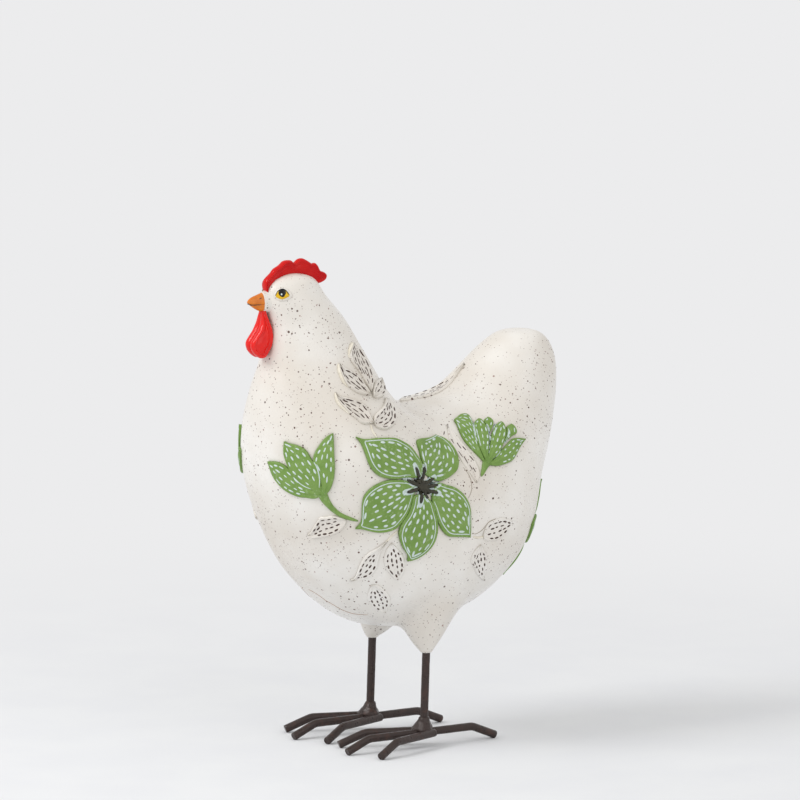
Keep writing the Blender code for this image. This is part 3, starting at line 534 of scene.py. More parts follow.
class Nodes:
    """Short ways to wire up one material."""

    def __init__(self, name, roughness, gleam=0.35):
        self.material = bpy.data.materials.new(name)
        self.material.use_nodes = True
        self.tree = self.material.node_tree
        self.shader = self.tree.nodes["Principled BSDF"]
        self.shader.inputs["Roughness"].default_value = roughness
        self.shader.inputs["Specular IOR Level"].default_value = gleam
        self.place = self.add("ShaderNodeTexCoord").outputs["Object"]

    def add(self, kind, **values):
        node = self.tree.nodes.new(kind)
        for key, value in values.items():
            setattr(node, key, value)
        return node

    def feed(self, socket, value):
        if isinstance(value, bpy.types.NodeSocket):
            self.tree.links.new(value, socket)
        else:
            socket.default_value = value

    def math(self, operation, a, b=0.0):
        node = self.add("ShaderNodeMath", operation=operation)
        self.feed(node.inputs[0], a)
        self.feed(node.inputs[1], b)
        return node.outputs[0]

    def ramp(self, value, low, high, first=0.0, second=1.0):
        node = self.add("ShaderNodeMapRange", interpolation_type="SMOOTHSTEP")
        for socket, fed in zip(node.inputs, (value, low, high, first, second)):
            self.feed(socket, fed)
        return node.outputs[0]

    def mix(self, share, a, b):
        node = self.add("ShaderNodeMix", data_type="RGBA")
        self.feed(node.inputs[0], share)
        self.feed(node.inputs[6], a)
        self.feed(node.inputs[7], b)
        return node.outputs[2]

    def noise(self, size, detail=3.0, roughness=0.5):
        """Noise whose blobs are about that many millimetres across."""
        node = self.add("ShaderNodeTexNoise")
        node.inputs["Scale"].default_value = 1000 / size
        node.inputs["Detail"].default_value = detail
        node.inputs["Roughness"].default_value = roughness
        self.feed(node.inputs["Vector"], self.place)
        return node.outputs["Fac"]

    def shade(self):
        return self.add("ShaderNodeAttribute", attribute_name="shade").outputs["Fac"]

    def bump(self, height, distance, strength=1.0):
        """Relief given in millimetres."""
        node = self.add("ShaderNodeBump")
        node.inputs["Distance"].default_value = distance / 1000
        node.inputs["Strength"].default_value = strength
        self.feed(node.inputs["Height"], height)
        self.feed(self.shader.inputs["Normal"], node.outputs[0])

    def finish(self, colour):
        self.feed(self.shader.inputs["Base Color"], colour)
        return self.material


def specks(nodes, cell, share, small, large, crowd):
    """Round specks, at most one to a cell: how much of a spot a speck covers, and the speck's own value."""
    node = nodes.add("ShaderNodeTexVoronoi")
    node.inputs["Scale"].default_value = 1000 / cell
    nodes.feed(node.inputs["Vector"], nodes.place)
    own = nodes.add("ShaderNodeSeparateColor")
    nodes.feed(own.inputs[0], node.outputs["Color"])
    radius = nodes.ramp(own.outputs[1], 0.0, 1.0, small / cell, large / cell)
    inner = nodes.math("MULTIPLY", radius, 0.55)
    spot = nodes.ramp(node.outputs["Distance"], inner, radius, 1.0, 0.0)
    chosen = nodes.math("LESS_THAN", own.outputs[0], nodes.math("MULTIPLY", crowd, share))
    return nodes.math("MULTIPLY", spot, chosen), own.outputs[2]


def glaze():
    """Satin cream glaze, mottled and speckled brown, greyed in its creases and in the dips of raised leaves:
    partly a thin grey antiquing, partly painted shade.
    """
    nodes = Nodes("glaze_cream", 0.33, gleam=0.5)
    cloud = nodes.ramp(nodes.noise(55.0), 0.3, 0.72)
    base = nodes.mix(cloud, linear(GLAZE_LIGHT), linear(GLAZE_DEEP))
    soft = nodes.ramp(nodes.noise(9.0, 4.0), 0.35, 0.7)
    base = nodes.mix(nodes.math("MULTIPLY", soft, 0.30), base, linear(GLAZE_MILKY))
    # Painted shade, mixed with a thin grey antiquing: ambient occlusion greys the glaze in its creases, and a
    # piece's shade values grey it on leaf shoulders and dips.
    crease = nodes.add("ShaderNodeAmbientOcclusion", samples=8)
    crease.inputs["Distance"].default_value = 0.0022
    hollow = nodes.ramp(crease.outputs["AO"], 0.95, 0.35)
    wash_and_shade = nodes.math("MAXIMUM", nodes.math("MULTIPLY", hollow, 0.85), nodes.shade())
    base = nodes.mix(nodes.math("MULTIPLY", wash_and_shade, 0.62), base, linear(WASH_AND_SHADE_GREY))
    crowd = nodes.ramp(nodes.noise(26.0, 2.0), 0.32, 0.66, 0.35, 1.35)
    for *speck, strength in SPECKS:
        cover, own = specks(nodes, *speck, crowd)
        tint = nodes.mix(nodes.ramp(own, 0.55, 0.95), linear(SPECK_BROWN), linear(SPECK_PALE))
        base = nodes.mix(nodes.math("MULTIPLY", cover, strength), base, tint)
    rough = nodes.ramp(nodes.noise(14.0), 0.3, 0.7, 0.26, 0.40)
    nodes.feed(nodes.shader.inputs["Roughness"], rough)
    nodes.bump(nodes.noise(3.2, 3.0), 0.10, 0.55)
    return nodes.finish(base)


def brushed(name, colour, second, roughness, size, relief, gleam):
    """Hand-brushed paint of two near colours; its shade value leans it to the second."""
    nodes = Nodes(name, roughness, gleam)
    streak = nodes.ramp(nodes.noise(size, 5.0, 0.6), 0.36, 0.66)
    share = nodes.math("MAXIMUM", nodes.math("MULTIPLY", streak, 0.45), nodes.shade())
    nodes.bump(nodes.noise(1.4, 3.0), relief, 0.6)
    return nodes.finish(nodes.mix(share, linear(colour), linear(second)))


def leaf_paint():
    """Green brushed thinly over the glaze, with a dry pale scuff on it, streaks of deeper green, and deeper
    green at the walls and in the dips inside the rims as painted shade.
    """
    nodes = Nodes("paint_green", 0.40)
    streak = nodes.ramp(nodes.noise(7.0, 5.0, 0.6), 0.36, 0.66)
    deep = nodes.math("MAXIMUM", nodes.math("MULTIPLY", streak, 0.42), nodes.shade())
    base = nodes.mix(deep, linear(LEAF_GREEN), linear(LEAF_DEEP))
    scuff = nodes.math("MULTIPLY", nodes.ramp(nodes.noise(1.5, 4.0, 0.65), 0.50, 0.72),
                       nodes.ramp(nodes.noise(9.0, 2.0), 0.40, 0.66))
    base = nodes.mix(nodes.math("MULTIPLY", scuff, 0.55), base, linear(LEAF_SCUFF))
    nodes.bump(nodes.noise(1.3, 3.0), 0.07, 0.6)
    return nodes.finish(base)


def wire_paint():
    """Dark brown paint on wire: satin, slightly uneven, redder where it is thin."""
    nodes = Nodes("paint_brown", 0.34)
    nodes.shader.inputs["Metallic"].default_value = 0.15
    thin = nodes.ramp(nodes.noise(5.0, 5.0, 0.65), 0.52, 0.78)
    base = nodes.mix(nodes.math("MULTIPLY", thin, 0.55), linear(WIRE_BROWN), linear(WIRE_THIN))
    nodes.feed(nodes.shader.inputs["Roughness"], nodes.ramp(nodes.noise(2.5, 4.0), 0.3, 0.7, 0.26, 0.46))
    nodes.bump(nodes.noise(2.0, 4.0, 0.6), 0.22, 0.8)
    return nodes.finish(base)


# How far inside a petal's and a leaf's edge the rows of points lie, and their share of its height
EDGE_STEPS = np.array([0.0, 0.05, 0.18, 0.42, 0.8, 1.25, 1.6, 2.0, 2.6])
LEAF_STEPS = np.array([0.0, 0.12, 0.35, 0.7, 1.1, 1.6, 2.0, 2.4, 2.8])
PETAL_TOP = np.array([0.40, 0.68, 0.86, 0.96, 1.0, 0.99, 0.93, 1.0, 1.04])
LEAF_TOP = np.array([0.05, 0.38, 0.75, 1.10, 1.22, 1.08, 0.84, 0.66, 0.52])


def pad(left, right, height, top, dome, rows=46, inner=5, dark=0.5, steps=EDGE_STEPS):
    """Raised shape between two edges: a wall, a rounded rim and a gently domed or hollow middle, with painted
    shade on the wall, the shoulder and the dip inside the rim.
    """
    left, right = spline(left, rows), spline(right, rows)
    a, b = SKIN.points(*left.T), SKIN.points(*right.T)
    width = np.linalg.norm(b - a, axis=1)
    reach = steps[None, :] * np.minimum(1.0, width / 2 / (steps[-1] + 0.6))[:, None]
    edge = reach / np.maximum(width, 1e-6)[:, None]
    fill = edge[:, -1:] + (1 - 2 * edge[:, -1:]) * np.linspace(0, 1, inner + 2)[None, 1:-1]
    across = np.concatenate([edge, fill, 1 - edge[:, ::-1]], axis=1)
    places = left[:, None, :] + (right - left)[:, None, :] * across[..., None]
    swell = np.sin(math.pi * np.linspace(0, 1, inner + 2)[1:-1]) * dome
    rise = np.concatenate([top, top[-1] + swell, top[::-1]]) * height
    spot, _, _, normal = SKIN.frames(places.reshape(-1, 2))
    columns = across.shape[1]
    lift = np.tile(rise, rows)
    wobble = np.array([noise.noise(Vector(p) / 4.0) for p in spot]) * 0.09
    upper = spot + normal * (lift + wobble)[:, None]
    ends = np.array([r * columns + c for r in range(rows) for c in (0, columns - 1)])
    lower = (spot - normal * 0.7)[ends]
    # Painted shade: shade values on the wall, the shoulder and the dip inside the rim darken the paint there,
    # and the buried foot takes the wall's value.
    edge_shade = [dark, dark * 0.7, dark * 0.3, 0.1, 0, 0, 0.2, 0, 0]
    shades = np.tile(np.concatenate([edge_shade, np.zeros(inner), edge_shade[::-1]]), rows)
    made = Shape()
    start = len(upper)
    faces = grid_faces(rows, columns)
    for r in range(rows - 1):
        for side, c in ((0, 0), (1, columns - 1)):
            faces.append((r * columns + c, (r + 1) * columns + c,
                          start + 2 * (r + 1) + side, start + 2 * r + side))
        faces.append((start + 2 * r, start + 2 * r + 1, start + 2 * r + 3, start + 2 * r + 2))
    made.add(np.concatenate([upper, lower]), faces, np.concatenate([shades, np.full(len(lower), dark)]))
    return made


def blob(outline, height, crown, count=40):
    """Small domed pad inside a closed outline."""
    edge = spline(outline, count, closed=True)
    middle = edge.mean(0)
    stack = []
    for r in (1.0, 0.96, 0.86, 0.7, 0.5, 0.25):
        spot, _, _, normal = SKIN.frames(middle + (edge - middle) * r)
        rise = height + crown * math.sqrt(max(0.0, 1 - r ** 2)) - (0.25 if r == 1.0 else 0)
        stack.append(spot + normal * rise)
    spot, _, _, normal = SKIN.frames(edge)
    return tube([spot - normal * 0.6] + stack)


def rod(path, radius, sides=32, wobble=0.05, cut=True):
    """Bar along a dense path, with rounded cut ends and a slightly uneven skin."""
    path = np.asarray(path, float)
    run = unit(np.gradient(path, axis=0))
    up = np.array([0.0, 0.0, 1.0]) if abs(run[len(run) // 2, 2]) < 0.7 else np.array([1.0, 0.0, 0.0])
    side = unit(np.cross(run, up))
    lift = np.cross(side, run)
    angle = np.linspace(0, 2 * math.pi, sides, endpoint=False)
    circle = side[:, None] * np.cos(angle)[None, :, None] + lift[:, None] * np.sin(angle)[None, :, None]
    rings = path[:, None] + circle * radius
    uneven = np.array([[noise.noise(Vector(p) / 3.0) for p in ring] for ring in rings]) * wobble
    rings = rings + circle * uneven[..., None]
    if cut:
        for share, back in ((0.93, 0.0), (0.98, 0.16)):
            first = path[0] + (rings[0] - path[0]) * share - run[0] * (0.16 - back)
            last = path[-1] + (rings[-1] - path[-1]) * share + run[-1] * (0.16 - back)
            rings = np.concatenate([[first], rings, [last]])
    return tube(rings)


def rounded_path(points, radius, steps=10):
    """Path with each inner corner turned into an arc."""
    points = [Vector(p) for p in points]
    path = [points[0]]
    for before, corner, after in zip(points, points[1:], points[2:]):
        a, b = (before - corner).normalized(), (after - corner).normalized()
        half = a.angle(b) / 2
        reach = radius / math.tan(half)
        centre = corner + (a + b).normalized() * radius / math.sin(half)
        start, end = corner + a * reach - centre, corner + b * reach - centre
        for i in range(steps + 1):
            path.append(centre + start.slerp(end, i / steps).normalized() * radius)
    return densified(path + [points[-1]], 1.2)


def densified(path, step):
    """The path with a point about every step."""
    path = np.array([tuple(p) for p in path])
    length = travelled(np.diff(path, axis=0))
    return sampled(path, length, np.linspace(0.0, 1.0, max(3, int(length[-1] / step))))


class Top:
    """Finds the height of whatever lies on the bare body at a place."""

    def __init__(self, shapes):
        points, faces = [], []
        for shape in shapes:
            start = len(points)
            points += [Vector(p) for p in shape.points]
            faces += [tuple(i + start for i in face) for face in shape.faces]
        self.tree = BVHTree.FromPolygons(points, faces)

    def points(self, places, lift):
        """Points that lift above the topmost surface."""
        spot, _, _, normal = SKIN.frames(places)
        out = []
        for s, n, up in zip(spot, normal, np.broadcast_to(lift, (len(spot),))):
            hit, _, _, _ = self.tree.ray_cast(Vector(s + n * 6.0), Vector(-n), 9.0)
            out.append((np.array(hit) if hit is not None else s) + n * up)
        return np.array(out)


# A brush stroke's section: shares of its half width, and height over what it is painted on
STROKE = ((-1.0, -0.10), (-0.75, 0.05), (0.0, 0.09), (0.75, 0.05), (1.0, -0.10))


def stroke(top, places, half_width, ends, thick=1.0, count=None):
    """Brush stroke laid over the relief: flat, thin and narrowed at its ends."""
    places = spline(places, count or max(4, 3 * len(places)))
    side = SKIN.beside(places)
    along = np.linspace(0, 1, len(places))
    swell = ends + (1 - ends) * np.sqrt(np.clip(1 - np.abs(2 * along - 1) ** 3, 0, 1))
    rings = []
    for across, lift in STROKE:
        moved = SKIN.shifted(places, side * (across * half_width * swell)[:, None])
        rings.append(top.points(moved, lift * (thick if lift > 0 else 1.0)))
    return tube(np.stack(rings, axis=1))


def dashes(top, left, right, spacing, row, margin, half_width, length, first, last, jitter=0.16):
    """Rows of short strokes that follow a petal from its base to its tip."""
    even = np.linspace(0, 1, 60)
    left, right = spline(left, len(even)), spline(right, len(even))
    a, b = SKIN.points(*left.T), SKIN.points(*right.T)
    width = np.linalg.norm(b - a, axis=1)
    middle = SKIN.points(*((left + right) / 2).T)
    run = travelled(np.diff(middle, axis=0))
    columns = max(1, int((width.max() - 2 * margin) / spacing) + 1)
    made, taken = Shape(), []

    def place(at, slot):
        share = np.interp(at, run, even)
        one, other = (np.array([np.interp(share, even, edge[:, k]) for k in (0, 1)]) for edge in (left, right))
        wide = np.interp(share, even, width)
        free = max(wide - 2 * margin, 0.0)
        return one + (other - one) * (0.5 + slot * free / max(wide, 1e-6)), free

    for column in range(columns):
        slot = 0.0 if columns == 1 else column / (columns - 1) - 0.5
        at = run[-1] * first + (row * 0.5 if column % 2 else 0.0) + row * jitter * rng.uniform(-1, 1)
        while at < run[-1] * last - length * 0.5:
            here = slot + rng.uniform(-1, 1) * jitter / max(columns, 2) * 0.5
            size = length * rng.uniform(0.7, 1.25)
            start, free = place(at, here)
            end, _ = place(min(at + size, run[-1] * 0.97), here)
            crowded = columns > 1 and free / (columns - 1) < spacing * 0.45
            central = abs(slot) < 0.6 / max(columns - 1, 1)
            spot = SKIN.points(*((start + end) / 2))[0]
            clear = all(np.linalg.norm(spot - other) > spacing * 0.74 for other in taken)
            if clear and free > spacing * 0.45 and not (crowded and not central):
                taken.append(spot)
                wide = half_width * rng.uniform(0.8, 1.2)
                made.join(stroke(top, [start, (start + end) / 2, end], wide, ends=0.3, count=5))
            at += row * rng.uniform(0.88, 1.15)
    return made


def inset(top, left, right, first, distance=INSET_DISTANCE, count=90):
    """Thin line that runs a fixed distance inside both edges of a petal and meets short of its tip."""
    left, right = spline(left, count), spline(right, count)
    width = np.linalg.norm(SKIN.points(*right.T) - SKIN.points(*left.T), axis=1)
    wide_enough = np.nonzero(width > 2.1 * distance)[0]
    keep = slice(int(first * count), wide_enough[-1] + 1)
    share = np.minimum(distance / np.maximum(width, 1e-6), 0.5)[:, None]
    sides = [(left + (right - left) * share)[keep], (right + (left - right) * share)[keep]]
    path = np.concatenate([sides[0], sides[1][::-1]])
    return stroke(top, path[::2], INSET_HALF_WIDTH, ends=0.5, count=2 * count)


def inflated(edge, middle, half, rim, dish=0.0, notches=(), bead=1.3, count=150):
    """Thin lobe in the middle plane: a beaded rim, then a dip towards its middle line."""
    edge = spline(edge, count, closed=True)
    line = spline(middle, 60)
    nearest = line[np.argmin(((edge[:, None] - line[None]) ** 2).sum(2), axis=1)]
    gap = np.linalg.norm(edge - nearest, axis=1)
    steps = [(bead * s, math.sqrt(1 - (1 - s) ** 2)) for s in (0.0, 0.06, 0.2, 0.45, 0.8, 1.0)]
    steps += [(bead * 1.25, 1.0 - rim * 0.45), (bead * 1.6, 1.0 - rim)]
    steps += [(bead * 2.3, 1.0 - rim * 0.9 - dish * 0.4)]
    scale = np.minimum(1.0, gap / (bead * 2.3 + 0.5))
    rings, shades = [], []
    # Shade values, highest at the rim and fading over the bead, lean the paint to its second colour: on the comb
    # a lighter orange-red rim, partly a painted highlight, on the wattles a deeper red rim.
    for step, thick in steps:
        share = step * scale / np.maximum(gap, 1e-6)
        rings.append((edge + (nearest - edge) * share[:, None], thick))
        shades.append(max(0.0, 0.55 - step / bead * 0.5))
    inner = rings[-1][0]
    for share in (0.3, 0.6, 1.0):
        rings.append((inner + (nearest - inner) * share, 1.0 - rim * 0.6 - dish * (0.4 + 0.6 * share)))
        shades.append(0.0)
    made = Shape()
    for sign in (1, -1):
        points = []
        for spots, thick in rings:
            width = np.full(len(spots), half * thick)
            for spot in notches:
                away = np.linalg.norm(spots - np.array(spot), axis=1)
                width *= 1 - 0.32 * np.exp(-(away / 4.5) ** 2) * (thick > 0.3)
            ripple = np.array([noise.noise(Vector((p[0] / 3.5, p[1] / 3.5, sign * 2.0))) for p in spots]) * 0.18
            width = width + ripple * (thick > 0.3)
            points.append(np.stack([sign * width, -spots[:, 0], spots[:, 1]], axis=1))
        made.add(np.concatenate(points), grid_faces(len(rings), count, wrap=True), np.repeat(shades, count))
    return made


def hung(lobe, side):
    """Brings a wattle's two faces together towards the top, where both lobes leave the beak."""
    for point in lobe.points:
        share = min(max((227.0 - point[2]) / 12.0, 0.0), 1.0)
        share = share * share * (3 - 2 * share)
        point[0] = side * (0.75 + 1.4 * share) + point[0] * (0.40 + 0.60 * share)
    return lobe


def body_shape(rings=270, sides=230):
    """The bare casting."""
    t = SKIN.last * np.arange(1, rings + 1) / (rings + 1)
    ring, angle = np.meshgrid(t, 360.0 * np.arange(sides) / sides, indexing="ij")
    points = SKIN.points(ring.ravel(), angle.ravel()).reshape(rings, sides, 3)
    made = tube(points)
    made.points[-2] = SKIN.points(0.0, 0.0)[0].tolist()
    made.points[-1] = SKIN.points(SKIN.last, 0.0)[0].tolist()
    return made


def thigh_shape(body, side, sides=96, steps=40):
    """Cone that swells out of the belly without a crease and ends bluntly round the wire."""
    tree = BVHTree.FromPolygons([Vector(p) for p in body.points], body.faces)
    centre = np.array([side * STANCE / 2, LEG_LEAN, LEG_CLEAR])
    columns = []
    for k in range(sides):
        angle = 2 * math.pi * k / sides
        out = np.array([math.cos(angle), math.sin(angle), 0.0])
        reach = THIGH_REACH * (1 + 0.24 * out[1] - 0.1 * max(0.0, out[0] * side))
        spots = []
        for r in (reach, reach + 0.5):
            hit, _, _, _ = tree.ray_cast(Vector(centre + out * r - (0, 0, 200)), Vector((0, 0, 1)))
            spots.append(np.array(hit))
        rim = spots[0]
        slope = unit(spots[1] - spots[0])
        span = np.linalg.norm(rim - centre)
        tip = centre + out * 3.3 + (0, 0, 0.75)
        straight = unit(rim - tip)
        a, b, c, d = tip, tip + straight * span * 0.45, rim - slope * span * 0.34, rim
        column = [centre + out * 2.1 - (0, 0, 0.15), centre + out * 2.8 + (0, 0, 0.12)]
        for t in np.linspace(0, 1, steps):
            column.append((1 - t) ** 3 * a + 3 * (1 - t) ** 2 * t * b + 3 * (1 - t) * t ** 2 * c + t ** 3 * d)
        column[-1] = column[-1] + (0, 0, 0.03)
        column.append(rim + slope * 1.2 + (0, 0, 0.25))
        columns.append(column)
    rings = np.array(columns).transpose(1, 0, 2)
    return tube(rings)


def eye_parts(turn):
    """One eye's layers by name, with their paints: lid, yellow ball, pupil, glint and dark upper line."""
    almond = turn(EYE, FAR_EYE_TURN)
    middle = almond.mean(0)
    lid = blob(middle + (almond - middle) * 1.40, height=0.15, crown=0.60)
    ball = blob(almond, height=0.70, crown=0.55)
    around = np.radians(np.arange(0, 360, 20))

    def disc(at, tall, wide, base, crown):
        _, u, v, normal = SKIN.frames(at)
        side = unit(u)
        up = np.cross(normal, side)
        offset = side * np.cos(around)[:, None] * tall + up * np.sin(around)[:, None] * wide
        return blob(SKIN.shifted(np.repeat(at, len(around), 0), offset), base, crown, count=30)

    pupil = disc(turn([PUPIL], FAR_EYE_TURN), tall=1.95, wide=1.9, base=1.04, crown=0.30)
    glint = disc(turn([GLINT], FAR_EYE_TURN), tall=0.46, wide=0.40, base=1.32, crown=0.14)
    upper = middle + (almond[:5] - middle) * 0.95
    line = stroke(Top([lid, ball]), upper, half_width=0.30, ends=0.35, thick=2.4, count=21)
    return {"lid": (lid, GLAZE), "ball": (ball, YELLOW), "pupil": (pupil, BLACK), "glint": (glint, WHITE),
            "line": (line, BLACK)}


def capsule(top, start, end, half_width, lift, high, count, ridged=False):
    """Rounded finger laid on the relief between two places."""
    places = np.array(start) + (np.array(end) - np.array(start)) * np.linspace(0, 1, count)[:, None]
    side = SKIN.beside(places)
    along = np.linspace(-1, 1, count)
    swell = np.sqrt(np.clip(1 - np.abs(along) ** 4, 0.02, 1))
    angles = np.radians(np.linspace(-18, 198, 11))
    rings = []
    base = top.points(places, 0.0)
    _, _, _, normal = SKIN.frames(places)
    for angle in angles:
        groove = 1.0 - (0.16 if ridged and abs(math.cos(angle)) < 0.2 else 0.0)
        out = side * (math.cos(angle) * half_width * swell)[:, None]
        rise = (lift + high * math.sin(angle) * groove) * swell
        rings.append(base + out + normal * rise[:, None])
    return tube(np.stack(rings, axis=1))


def stalk(places, widths, heights):
    """Rounded raised line on the bare body, its half widths and heights given evenly along it."""
    places = spline(places, 8 * len(places))
    share = np.linspace(0, 1, len(places))
    half_width = np.interp(share, np.linspace(0, 1, len(widths)), widths)
    height = np.interp(share, np.linspace(0, 1, len(heights)), heights)
    side = SKIN.beside(places)
    angles = np.radians(np.linspace(-25, 205, 13))
    swell = np.sqrt(np.clip(1 - np.abs(2 * share - 1) ** 8, 0.08, 1))
    rings = []
    for angle in angles:
        moved = SKIN.shifted(places, side * (math.cos(angle) * half_width * swell)[:, None])
        spot, _, _, normal = SKIN.frames(moved)
        rings.append(spot + normal * (height * math.sin(angle) * swell)[:, None])
    return tube(np.stack(rings, axis=1))


def mandible(steps):
    """One half of the beak: rows of (forward, top, mouth height, half width)."""
    rings = []
    for forward, high, low, wide in steps:
        ring = []
        for k in range(28):
            angle = 2 * math.pi * k / 28
            across, up = math.cos(angle), math.sin(angle)
            rise = (high - low) * (up ** 0.85 if up > 0 else 0.05 * up)
            ring.append((wide * across * (1 - 0.12 * max(up, 0)), -forward, low + rise))
        rings.append(ring)
    return tube(spline_rings(rings, 26))


def spline_rings(rings, count):
    """Smoothly refills a stack of rings along its length."""
    rings = np.array(rings, float)
    flat = rings.reshape(len(rings), -1)
    t = np.linspace(0, len(flat) - 1, count)
    i = np.minimum(t.astype(int), len(flat) - 2)
    padded = np.concatenate([2 * flat[:1] - flat[1:2], flat, 2 * flat[-1:] - flat[-2:-1]])
    filled = smooth(*(padded[i + k] for k in range(4)), (t - i)[:, None])
    return filled.reshape(count, *rings.shape[1:])


def forward_point(forward, left, height):
    """A point given as forward, left and up."""
    return np.array((left, -forward, height))


def leg_paths(side):
    """Centre lines of one leg's wires: shank, long toe, and the two side toes."""
    middle = side * STANCE / 2
    foot, tip = forward_point(0.0, middle, FOOT_HEIGHT), forward_point(-LEG_LEAN, middle, LEG_CLEAR)
    run = (tip - foot) / np.linalg.norm(tip - foot)
    end = ROD / 2 - 0.3
    paths = {"shank": [foot + run * (ROD / 2 + 0.3), tip + run * 6.0]}
    spots = ((TOE_REACH, end), (TOE_REACH * 0.717, FOOT_HEIGHT), (-HEEL_REACH * 0.686, FOOT_HEIGHT),
             (-HEEL_REACH, end))
    paths["long_toe"] = [forward_point(forward, middle, height) for forward, height in spots]
    angle = math.radians(TOE_SPREAD)
    beside = ROD / 2 * (1 + math.cos(angle)) + 0.3
    for outward, name in ((side, "outer_toe"), (-side, "inner_toe")):
        spots = []
        for reach, height in ((0.0, FOOT_HEIGHT), (0.70, FOOT_HEIGHT), (1.0, end)):
            forward = -3.5 + math.cos(angle) * SIDE_TOE * reach
            across = beside + math.sin(angle) * SIDE_TOE * reach
            spots.append(forward_point(forward, middle + outward * across, height))
        paths[name] = spots
    return paths


def weld_bead(side):
    """Lumpy bead that has run down from the shank on to the three toe wires."""
    middle = side * STANCE / 2
    low = FOOT_HEIGHT + ROD / 2
    rings = []
    for rise, share in WELD_ROWS:
        ring = []
        for k in range(48):
            angle = 2 * math.pi * k / 48
            lump = 1 + (share - 0.4) * (0.2 * math.cos(3 * angle + 0.6) - 0.18 * math.sin(angle))
            height = low + rise
            lean = LEG_LEAN * (height - FOOT_HEIGHT) / (LEG_CLEAR - FOOT_HEIGHT)
            reach = WELD_REACH * share * lump
            ring.append((middle + math.cos(angle) * reach, lean + math.sin(angle) * reach, height))
        rings.append(ring)
    rings = spline_rings(rings, 30)
    push = np.array([[noise.noise(Vector(p) / 1.9) for p in ring] for ring in rings]) * 0.42
    centre = rings.mean(1, keepdims=True)
    rings += unit((rings - centre) * (1, 1, 0)) * push[..., None]
    return tube(rings)


def droplets(top, count, sizes):
    """Thicker drops of brown glaze, scattered unevenly, as flat beads."""
    made = Shape()
    around = np.radians(np.arange(0, 360, 45))
    tries = 0
    while count > 0 and tries < 9000:
        tries += 1
        place = np.array([(rng.uniform(1.2, 19.4), rng.uniform(-180, 180))])
        spot, u, v, normal = SKIN.frames(place)
        spread = np.linalg.norm(np.cross(u[0], v[0]))
        if np.linalg.norm(top.points(place, 0.0)[0] - spot[0]) > 0.75 * RELIEF:
            continue
        clump = noise.noise(Vector(spot[0]) / 24.0)
        if rng.random() > spread / 26.0 * (0.55 + 1.5 * clump):
            continue
        count -= 1
        radius = rng.uniform(*sizes) * (1.0 if rng.random() < 0.85 else 1.35)
        side = unit(u)
        up = np.cross(normal, side)
        stretch = rng.uniform(0.75, 1.0)
        rings = []
        for share, lift in ((1.0, -0.08), (0.86, 0.05), (0.5, 0.085)):
            offset = side * np.cos(around)[:, None] * radius * share
            offset = offset + up * np.sin(around)[:, None] * radius * share * stretch
            rings.append(top.points(SKIN.shifted(np.repeat(place, len(around), 0), offset), lift))
        made.join(tube(rings))
    return made


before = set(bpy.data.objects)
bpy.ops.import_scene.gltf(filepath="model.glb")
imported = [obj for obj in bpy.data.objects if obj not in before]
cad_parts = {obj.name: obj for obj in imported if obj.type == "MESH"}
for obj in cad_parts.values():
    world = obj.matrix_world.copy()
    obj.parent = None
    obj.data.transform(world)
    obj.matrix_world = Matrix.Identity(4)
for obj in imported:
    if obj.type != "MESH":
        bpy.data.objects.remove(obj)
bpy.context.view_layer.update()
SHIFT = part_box("hen_body")[0][1] * 1000 + BEAK_TIP

GLAZE = glaze()
GREEN = leaf_paint()
HAZE, WHITE, BROWN, GREY, OCHRE, CREAM, DARK, RED, WATTLE_RED, ORANGE, YELLOW, BLACK, SPOT = (
    brushed(name, *values) for name, values in BRUSHED.items())
WIRE = wire_paint()

body = body_shape()
thighs = [thigh_shape(body, side) for side in (1, -1)]
greens, leaves = Shape(), Shape()
for turn in (near, far):
    for group, dome, extra in ((FLOWER, 0.20, 0.0), (BUD, 0.16, FAR_BUD_TURN), (FAN, 0.10, 0.0)):
        for share, left, right in group.values():
            greens.join(pad(turn(left, extra), turn(right, extra), RELIEF * share, PETAL_TOP, dome))
    for share, left, right in LEAVES.values():
        leaves.join(pad(turn(left), turn(right), RELIEF * share, LEAF_TOP, dome=-0.05,
                        rows=36, inner=3, dark=0.0, steps=LEAF_STEPS))
    greens.join(stalk(turn(BUD_STEM, FAR_BUD_TURN), BUD_STEM_WIDTHS, BUD_STEM_HEIGHTS))
    greens.join(stalk(turn(FAN_STEM), FAN_STEM_WIDTHS, FAN_STEM_HEIGHTS))
leaves.join(pad(*SADDLE_LEAF[1:], RELIEF * SADDLE_LEAF[0], LEAF_TOP, dome=-0.05, dark=0.0, steps=LEAF_STEPS))


def rear_petals():
    """Five petals round the rear flower's middle, as left and right edges."""
    centre = np.array([REAR_FLOWER])
    _, _, v, normal = SKIN.frames(centre)
    side = unit(np.cross(normal, v))
    up = np.cross(normal, side)
    petals = []
    for k in range(5):
        angle = math.radians(72 * (k + 0.5) + REAR_TURN)
        run = side * math.cos(angle) + up * math.sin(angle)
        beside = np.cross(normal, run)
        edges = []
        for sign in (1, -1):
            edge = []
            for s in np.linspace(0, 1, 12):
                wide = REAR_HALF_WIDTH * math.sin(math.pi * s ** 0.8) ** 0.75 if 0 < s < 1 else 0.0
                offset = run * (REAR_START + REAR_LENGTH * s) + beside * sign * wide
                edge.append(SKIN.shifted(centre, offset)[0])
            edges.append(edge)
        petals.append(edges)
    return petals


REAR = rear_petals()
for left, right in REAR:
    greens.join(pad(left, right, RELIEF, PETAL_TOP, 0.15))
top = Top([body, *thighs, greens, leaves])

